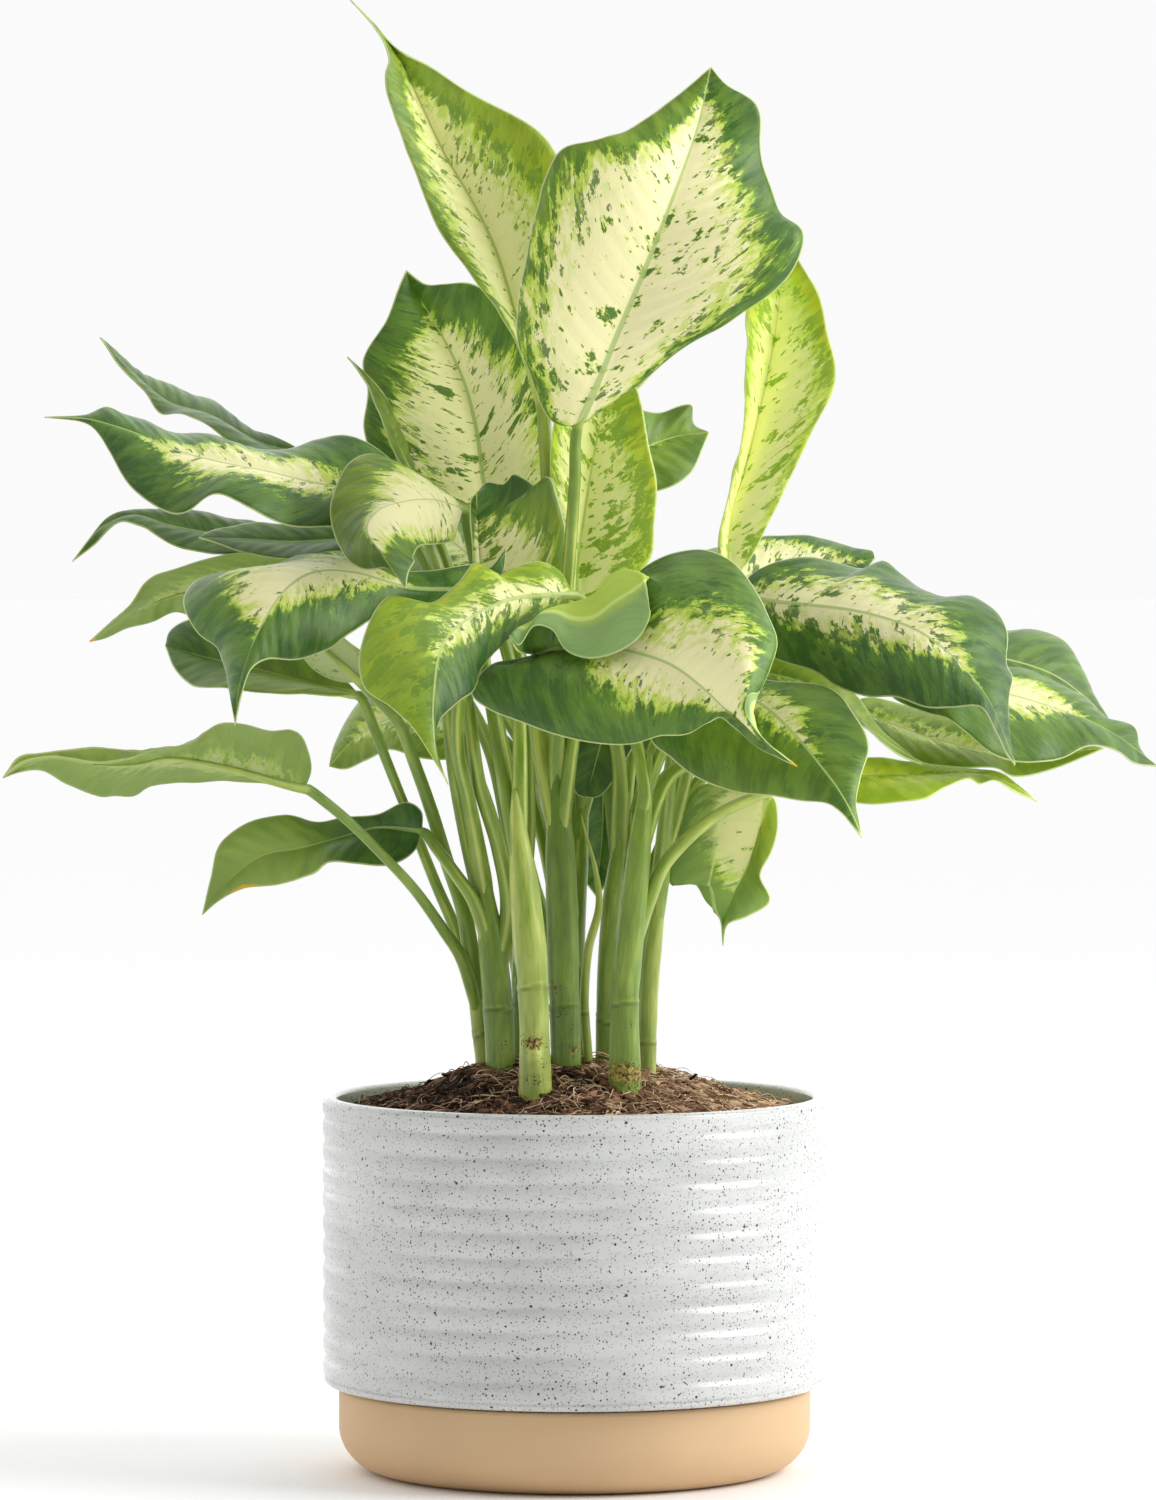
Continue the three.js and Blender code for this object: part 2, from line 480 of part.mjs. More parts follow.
    left: [[-38, 314], [-56, 318], [-76, 322], [-88, 326]],
    leftY: [64, 82, 112, 138],
    right: [[-32, 330], [-44, 346], [-64, 352], [-84, 346]],
    rightY: [70, 112, 142, 152],
    stalk: [[0, 198, 41], [-4, 220, 50], [-9, 245, 55], [-15, 275, 56], [-23, 302, 58]],
  },
  {
    name: 'leaf_rear_right',
    rib: [[32, 300], [44, 312], [60, 318], [76, 314], [88, 304]],
    ribY: [56, 86, 112, 134, 146],
    left: [[30, 312], [42, 326], [62, 330], [80, 322]],
    leftY: [64, 106, 138, 150],
    right: [[42, 298], [60, 296], [78, 298], [86, 300]],
    rightY: [58, 76, 108, 138],
    stalk: [[17, 188, 31], [17, 215, 37], [19, 245, 42], [23, 270, 47], [27, 288, 51]],
  },
  {
    name: 'leaf_rear_upper',
    rib: [[4, 376], [8, 392], [14, 410], [24, 428], [32, 440]],
    ribY: [54, 70, 86, 102, 114],
    left: [[-6, 386], [-10, 404], [0, 424], [18, 438]],
    leftY: [58, 74, 96, 110],
    right: [[16, 380], [30, 394], [38, 412], [37, 430]],
    rightY: [58, 72, 92, 108],
    stalk: [[1, 234, 41], [-5, 256, 43], [-5, 285, 46], [-3, 315, 48], [-1, 345, 50]],
  },
  {
    name: 'leaf_rear_low',
    rib: [[-4, 282], [-6, 292], [-8, 290], [-12, 280], [-15, 266]],
    ribY: [88, 106, 128, 148, 160],
    left: [[7, 284], [16, 284], [8, 275], [-6, 266]],
    leftY: [92, 118, 146, 158],
    right: [[-16, 282], [-30, 280], [-30, 270], [-22, 264]],
    rightY: [92, 118, 144, 156],
    stalk: [[-1, 170, 40], [-8, 188, 49], [-15, 210, 55], [-20, 236, 61], [-18, 258, 72], [-11, 274, 84]],
  },
];

// ---- Canes: [x, z, y] of the axis, seen as above, and the radius there ------

const CANES = [
  { name: 'cane_left_outer', path: [[-32, 146, 6], [-34, 160, 6], [-35.5, 172, 6], [-37, 184, 6]],
    radius: [3.2, 3.5, 3.8, 3] },
  { name: 'cane_left', path: [[-26.5, 146, -6], [-27.5, 166, -6], [-30, 190, -6], [-33.5, 219, -7]],
    radius: [5.2, 5.4, 5, 3] },
  { name: 'cane_front_left',
    path: [[-14, 135, -38], [-15, 174, -38], [-17, 200, -37], [-19.5, 224, -36], [-21.5, 243, -35]],
    radius: [6, 5.2, 5.8, 5, 3] },
  { name: 'cane_centre',
    path: [[-3, 144, -8], [-4, 180, -8], [-5, 210, -8], [-6, 240, -8], [-7, 258, -8]],
    radius: [5.3, 5.6, 5.6, 5, 3] },
  { name: 'cane_centre_back', path: [[11, 142, 12], [11.5, 180, 12], [14, 210, 13], [19, 242, 16]],
    radius: [3.6, 3.4, 3.4, 2.6] },
  { name: 'cane_front_right',
    path: [[18, 136, -32], [18, 168, -32], [21, 200, -32], [24, 230, -32], [27, 256, -32]],
    radius: [6, 5, 4.7, 4.1, 2.8] },
  { name: 'cane_right', path: [[26, 146, -6], [27, 175, -6], [29, 195, -6], [32, 221, -7]],
    radius: [3.2, 3, 3, 2.6] },
  { name: 'cane_right_rear', path: [[22, 146, 8], [24, 180, 9], [30, 215, 9], [35, 240, 8]],
    radius: [3.4, 3.2, 3, 2.4] },
  { name: 'young_shoot',
    path: [[5, 142, 0], [3.5, 168, 0], [5, 186, 0], [8.7, 201, 0], [7.7, 213, 0], [4.3, 226, 0],
      [2.3, 234, 0]],
    radius: [1.7, 1.7, 1.6, 1.5, 1.1, 0.6] },
  { name: 'cane_rear', path: [[0, 145, 36], [-1, 180, 38], [1, 220, 41], [4, 252, 42]],
    radius: [5, 4.8, 4.4, 3.2] },
  { name: 'cane_rear_right', path: [[15, 145, 30], [17, 190, 30], [20, 235, 28]],
    radius: [4.4, 4, 3] },
  { name: 'cane_rear_left', path: [[-19, 146, 20], [-18, 190, 21], [-17, 238, 21]],
    radius: [4.4, 4, 3] },
];

// ---- Geometry helpers ------------------------------------------------------

function seen(x, z, y) {
  const scale = (y - EYE.y) / -EYE.y;
  return new THREE.Vector3(EYE.x + (x - EYE.x) * scale, y, EYE.z + (z - EYE.z) * scale);
}

function evenly(values, fraction) {
  // The value at a fraction of the way along a list, straight between its entries.
  const place = fraction * (values.length - 1);
  const low = Math.min(Math.floor(place), values.length - 2);
  return THREE.MathUtils.lerp(values[low], values[low + 1], place - low);
}

function spline(points) {
  return new THREE.CatmullRomCurve3(points, false, 'centripetal');
}

function seenLine(points, depths) {
  return points.map(([x, z], i) => seen(x, z, evenly(depths, i / (points.length - 1))));
}

// A closed solid through rings of points. Every ring has the same number of
// points, in order anticlockwise as seen from the far end of the solid. The second
// half of each ring is split along the mirrored diagonal, so that the upper and
// under side of a thin twisted blade run parallel and don't cut each other.
function loft(rings, tip = null) {
  const positions = [];
  const index = [];
  const around = rings[0].length;
  for (const ring of rings) {
    for (const point of ring) {
      positions.push(point.x, point.y, point.z);
    }
  }
  for (let r = 0; r + 1 < rings.length; r += 1) {
    for (let i = 0; i < around; i += 1) {
      const a = r * around + i;
      const b = r * around + (i + 1) % around;
      if (i < around / 2) {
        index.push(a, b, b + around, a, b + around, a + around);
      } else {
        index.push(a, b, a + around, b, b + around, a + around);
      }
    }
  }
  const addFan = (ring, centre, outward) => {
    const hub = positions.length / 3;
    positions.push(centre.x, centre.y, centre.z);
    for (let i = 0; i < around; i += 1) {
      const a = ring * around + i;
      const b = ring * around + (i + 1) % around;
      index.push(...(outward ? [a, b, hub] : [b, a, hub]));
    }
  };
  addFan(0, middle(rings[0]), false);
  addFan(rings.length - 1, tip ?? middle(rings.at(-1)), true);
  return closedGeometry(positions, index);
}

function middle(ring) {
  return ring.reduce((sum, point) => sum.add(point), new THREE.Vector3()).divideScalar(ring.length);
}

function closedGeometry(positions, index) {
  const geometry = new THREE.BufferGeometry();
  geometry.setAttribute('position', new THREE.Float32BufferAttribute(positions, 3));
  geometry.setIndex(index);
  return geometry;
}

// Solid round stem along a path, with the radius given at even steps of it.
function stem(path, radius, sides, steps) {
  const curve = spline(path);
  const frames = curve.computeFrenetFrames(steps, false);
  const rings = [];
  for (let i = 0; i <= steps; i += 1) {
    const centre = curve.getPointAt(i / steps);
    const size = evenly(radius, i / steps);
    const ring = [];
    for (let k = 0; k < sides; k += 1) {
      const angle = (k / sides) * Math.PI * 2;
      ring.push(centre.clone()
        .addScaledVector(frames.normals[i], Math.cos(angle) * size)
        .addScaledVector(frames.binormals[i], Math.sin(angle) * size));
    }
    rings.push(ring);
  }
  return loft(rings);
}

function toSolid(geometry) {
  const bare = geometry.clone();
  bare.deleteAttribute('normal');
  bare.deleteAttribute('uv');
  const merged = mergeVertices(bare, 1e-4);
  return new wasm.Manifold(new wasm.Mesh({
    numProp: 3,
    vertProperties: new Float32Array(merged.attributes.position.array),
    triVerts: new Uint32Array(merged.index.array),
  }));
}

function toGeometry(solid) {
  const mesh = solid.getMesh();
  return closedGeometry(Array.from(mesh.vertProperties), Array.from(mesh.triVerts));
}

function cut(geometry, tools) {
  let solid = toSolid(geometry);
  for (const tool of tools) {
    solid = solid.subtract(tool);
  }
  return toGeometry(solid);
}

// ---- Materials -------------------------------------------------------------

const FINISH = {
  pot: { color: 0xe3e4e1, roughness: 0.45, metalness: 0 },
  tray: { color: 0xd2ac7c, roughness: 0.6, metalness: 0 },
  soil: { color: 0x4a3528, roughness: 0.95, metalness: 0 },
  cane: { color: 0x7f9a4e, roughness: 0.5, metalness: 0 },
  leaf: { color: 0x6f9a4f, roughness: 0.45, metalness: 0 },
};

function piece(name, geometry, finish) {
  geometry.computeVertexNormals();
  const mesh = new THREE.Mesh(geometry, new THREE.MeshStandardMaterial(FINISH[finish]));
  mesh.name = name;
  return mesh;
}

// ---- Pot and tray ----------------------------------------------------------

function lathe(profile) {
  const points = profile.map(([r, z]) => new THREE.Vector2(r, z));
  const geometry = new THREE.LatheGeometry(points, TURN_STEPS);
  geometry.rotateX(Math.PI / 2);
  return geometry;
}

// Quarter circle from (radius - corner, bottom) round to (radius, bottom + corner).
function roundedCorner(radius, bottom, corner, steps) {
  return Array.from({ length: steps + 1 }, (_, i) => {
    const angle = (i / steps) * Math.PI / 2;
    return [radius - corner + corner * Math.sin(angle), bottom + corner * (1 - Math.cos(angle))];
  });
}

const TRAY_FLOOR = TRAY_WALL;
const POT_FLOOR_UNDER = TRAY_FLOOR + TOUCH_GAP;
const POT_FLOOR_TOP = POT_FLOOR_UNDER + POT_WALL;
const SLEEVE_INSIDE = POT_RADIUS - RIDGE_DEPTH - POT_WALL;
const FOOT_INSIDE = FOOT_RADIUS - POT_WALL;
const STEP_FOOT = SLEEVE_BOTTOM + POT_WALL / 2;

function plantPot() {
  const ridges = [];
  const highestRidge = POT_HEIGHT - RIM_BAND;
  for (let i = RIDGE_COUNT; i > 0; i -= 1) {
    const groove = highestRidge - (RIDGE_COUNT - i) * RIDGE_PITCH;
    ridges.unshift([POT_RADIUS, groove - RIDGE_PITCH / 2], [POT_RADIUS - RIDGE_DEPTH, groove]);
  }
  const profile = [
    [0, POT_FLOOR_UNDER],
    ...roundedCorner(FOOT_RADIUS, POT_FLOOR_UNDER, FOOT_CORNER, 4),
    [FOOT_RADIUS, SLEEVE_BOTTOM],
    [POT_RADIUS - SLEEVE_EDGE, SLEEVE_BOTTOM],
    [POT_RADIUS, SLEEVE_BOTTOM + SLEEVE_EDGE],
    ...ridges,
    [POT_RADIUS, POT_HEIGHT - RIM_BAND / 2],
    [POT_RADIUS, POT_HEIGHT - RIM_EDGE],
    [POT_RADIUS - RIM_EDGE, POT_HEIGHT],
    [SLEEVE_INSIDE + RIM_EDGE, POT_HEIGHT],
    [SLEEVE_INSIDE, POT_HEIGHT - RIM_EDGE],
    [SLEEVE_INSIDE, STEP_FOOT + STEP_HEIGHT],
    [FOOT_INSIDE, STEP_FOOT],
    ...roundedCorner(FOOT_INSIDE, POT_FLOOR_TOP, FOOT_CORNER - POT_WALL, 3).reverse(),
    [0, POT_FLOOR_TOP],
  ];
  const drains = [];
  for (let i = 0; i < DRAIN_HOLES; i += 1) {
    const angle = (i / DRAIN_HOLES) * Math.PI * 2;
    const hole = new THREE.CylinderGeometry(DRAIN_RADIUS, DRAIN_RADIUS, 3 * POT_WALL, 12);
    hole.rotateX(Math.PI / 2);
    hole.translate(DRAIN_CIRCLE * Math.cos(angle), DRAIN_CIRCLE * Math.sin(angle), POT_FLOOR_UNDER);
    drains.push(toSolid(hole));
  }
  return piece('planter_pot', cut(lathe(profile), drains), 'pot');
}

function dripTray() {
  const inside = TRAY_RADIUS - TRAY_WALL;
  const profile = [
    [0, 0],
    ...roundedCorner(TRAY_RADIUS, 0, TRAY_CORNER, 5),
    [TRAY_RADIUS, TRAY_HEIGHT],
    [inside, TRAY_HEIGHT],
    ...roundedCorner(inside, TRAY_FLOOR, TRAY_CORNER - TRAY_WALL, 4).reverse(),
    [0, TRAY_FLOOR],
  ];
  return piece('drip_tray', lathe(profile), 'tray');
}

// ---- Soil ------------------------------------------------------------------

// A mound that is highest around the canes, with shallow lumps.
function soilHeight(x, y) {
  const reach = Math.hypot((x + 2) / 62, (y - 4) / 58);
  const mound = SOIL_MOUND * Math.exp(-(reach ** 2.6));
  const lumps = SOIL_LUMP * Math.sin(x * 0.21 + 1.3) * Math.sin(y * 0.24 + 0.4);
  return SOIL_EDGE_HEIGHT + mound + lumps;
}

function soilBed(caneCuts) {
  const top = SLEEVE_INSIDE - SOIL_GAP;
  const foot = FOOT_INSIDE - SOIL_GAP;
  const side = [
    ...roundedCorner(foot, POT_FLOOR_TOP + SOIL_GAP, FOOT_CORNER - POT_WALL, 2),
    [foot, STEP_FOOT],
    [top, STEP_FOOT + STEP_HEIGHT],
  ];
  const surface = [1, 0.86, 0.68, 0.5, 0.34, 0.18].map((share) => share * top);
  const rings = [];
  const ringAt = (radius, height) => Array.from({ length: SOIL_STEPS }, (_, k) => {
    const angle = (k / SOIL_STEPS) * Math.PI * 2;
    const x = radius * Math.cos(angle);
    const y = radius * Math.sin(angle);
    return new THREE.Vector3(x, y, height(x, y));
  });
  for (const [radius, z] of side) {
    rings.push(ringAt(radius, () => z));
  }
  for (const radius of surface) {
    rings.push(ringAt(radius, soilHeight));
  }
  const geometry = loft(rings, new THREE.Vector3(0, 0, soilHeight(0, 0)));
  return piece('soil', cut(geometry, caneCuts), 'soil');
}

// ---- Canes -----------------------------------------------------------------

function caneAxis({ path }) {
  const points = path.map(([x, z, y]) => seen(x, z, y));
  const foot = points[0].clone();
  foot.z -= CANE_DEPTH;
  return [foot, ...points];
}

function caneGeometry(cane, growth) {
  const radius = [cane.radius[0], ...cane.radius].map((r) => r + growth);
  const path = caneAxis(cane);
  if (growth > 0) {
    const last = path.length - 1;
    const along = path[last].clone().sub(path[last - 1]).normalize();
    path[last].addScaledVector(along, growth);
    path[0].z -= growth;
  }
  return stem(path, radius, CANE_SIDES, CANE_STEPS);
}

// ---- Leaves ----------------------------------------------------------------

// How far along a margin a cross section that starts at `t` of the rib ends.
function marginShare(t) {
  return t ** MARGIN_LEAD;
}

function bladeCurves(leaf) {
  const rib = seenLine(leaf.rib, leaf.ribY);
  const margin = (points, depths) => spline([rib[0], ...seenLine(points, depths), rib.at(-1)]);
  return {
    rib: spline(rib),
    left: margin(leaf.left, leaf.leftY),
    right: margin(leaf.right, leaf.rightY),
    leftMid: leaf.leftMid && margin(leaf.leftMid, leaf.leftMidY),
  };
}

function bladeSection(curves, t) {
  const rib = curves.rib.getPointAt(t);
  const left = curves.left.getPointAt(marginShare(t));
  const right = curves.right.getPointAt(marginShare(t));
  const along = curves.rib.getTangentAt(t);
  const up = right.clone().sub(left).cross(along).normalize();
  const half = BLADE_THICKNESS / 2;
  const lifted = (margin) => {
    const bow = BLADE_BOW * margin.distanceTo(rib);
    return rib.clone().lerp(margin, 0.5).addScaledVector(up, bow);
  };
  const midLeft = curves.leftMid ? curves.leftMid.getPointAt(marginShare(t)) : lifted(left);
  const midRight = lifted(right);
  const shift = (point, distance) => point.clone().addScaledVector(up, distance);
  return [
    left,
    shift(midLeft, half),
    shift(rib, half),
    shift(midRight, half),
    right,
    shift(midRight, -half),
    shift(rib, -half - RIB_KEEL * (1 - t)),
    shift(midLeft, -half),
  ];
}

// Rings of eight points around the stalk, in the order of a blade section: its
// left side, over it, its right side, under it.
function stalkRings(leaf, curves) {
  const base = curves.rib.getPointAt(0);
  const path = leaf.stalk.map(([x, z, y]) => seen(x, z, y));
  const curve = spline([...path, base, curves.rib.getPointAt(STALK_RUN_ON)]);
  const stalkShare = path.length / (path.length + 1);
  const steps = Math.max(4, Math.round(spline([...path, base]).getLength() / STALK_STEP));
  const first = bladeSection(curves, BLADE_START);
  const side = first[4].clone().sub(first[0]).normalize();
  const rings = [];
  for (let i = steps; i >= 0; i -= 1) {
    const share = (i / steps) * stalkShare;
    const centre = curve.getPoint(share);
    const along = curve.getTangent(share);
    side.addScaledVector(along, -side.dot(along)).normalize();
    const up = side.clone().cross(along);
    const radius = STALK_RADIUS * THREE.MathUtils.lerp(STALK_FOOT, STALK_HEAD, i / steps);
    const ring = [];
    for (let k = 0; k < 8; k += 1) {
      const angle = Math.PI - (k / 8) * Math.PI * 2;
      ring.push(centre.clone()
        .addScaledVector(side, radius * Math.cos(angle))
        .addScaledVector(up, radius * Math.sin(angle)));
    }
    rings.unshift(ring);
  }
  return rings;
}

function leafGeometry(leaf) {
  const curves = bladeCurves(leaf);
  const rows = Math.max(5, Math.round(curves.left.getLength() / ROW_SPACING));
  const rings = stalkRings(leaf, curves);
  for (let i = 0; i < rows - 1; i += 1) {
    rings.push(bladeSection(curves, THREE.MathUtils.lerp(BLADE_START, 1, i / (rows - 1))));
  }
  return loft(rings, curves.rib.getPointAt(1));
}

// ---- The plant -------------------------------------------------------------

const plant = new THREE.Group();
plant.add(plantPot(), dripTray());

const caneCuts = CANES.map((cane) => toSolid(caneGeometry(cane, TOUCH_GAP)));
plant.add(soilBed(caneCuts));
for (const cane of CANES) {
  plant.add(piece(cane.name, caneGeometry(cane, 0), 'cane'));
}
for (const leaf of LEAVES) {
  plant.add(piece(leaf.name, cut(leafGeometry(leaf), caneCuts), 'leaf'));
}

export default plant;
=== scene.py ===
"""A potted dieffenbachia: broad cream and green leaves on thick canes, in a ridged, speckled pot on a
drip tray.

The file is laid out as a Blender add-on and is run as a script. Lengths in the tables are millimetres,
seen from the front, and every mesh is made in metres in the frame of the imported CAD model.
"""

import math
from types import SimpleNamespace

import bpy
import mathutils
import numpy as np
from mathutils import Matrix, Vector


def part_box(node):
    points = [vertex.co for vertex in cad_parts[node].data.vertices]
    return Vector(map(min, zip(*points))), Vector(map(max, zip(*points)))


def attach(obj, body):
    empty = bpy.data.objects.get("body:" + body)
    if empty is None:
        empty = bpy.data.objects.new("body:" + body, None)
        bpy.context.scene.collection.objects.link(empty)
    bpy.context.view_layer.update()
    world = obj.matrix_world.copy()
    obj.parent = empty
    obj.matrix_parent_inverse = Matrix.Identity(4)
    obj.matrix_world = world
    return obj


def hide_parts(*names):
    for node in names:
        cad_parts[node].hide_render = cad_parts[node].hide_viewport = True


bl_info = {
    "name": "Potted dieffenbachia",
    "version": (1, 0, 0),
    "blender": (4, 5, 0),
    "location": "View3D > Sidebar > Dieffenbachia",
    "description": "Builds a variegated houseplant in a speckled pot around its CAD frame",
    "category": "Object",
}

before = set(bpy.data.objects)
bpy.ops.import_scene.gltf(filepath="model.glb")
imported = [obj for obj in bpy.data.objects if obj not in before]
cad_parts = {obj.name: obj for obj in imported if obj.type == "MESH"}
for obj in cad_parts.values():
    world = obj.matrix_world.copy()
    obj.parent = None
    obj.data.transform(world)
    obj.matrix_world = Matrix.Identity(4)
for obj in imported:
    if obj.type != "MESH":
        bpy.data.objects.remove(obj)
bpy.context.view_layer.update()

MM = 0.001
EYE = np.array([1.2, -2526.0, 337.0])  # where the photograph was taken from, mm
EYE_AIM = np.array([1.2, 0.0, 257.0])  # the point in the middle of the picture, mm
POT_LOW, POT_HIGH = (np.array(corner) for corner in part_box("planter_pot"))
TRAY_HIGH = np.array(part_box("drip_tray")[1])
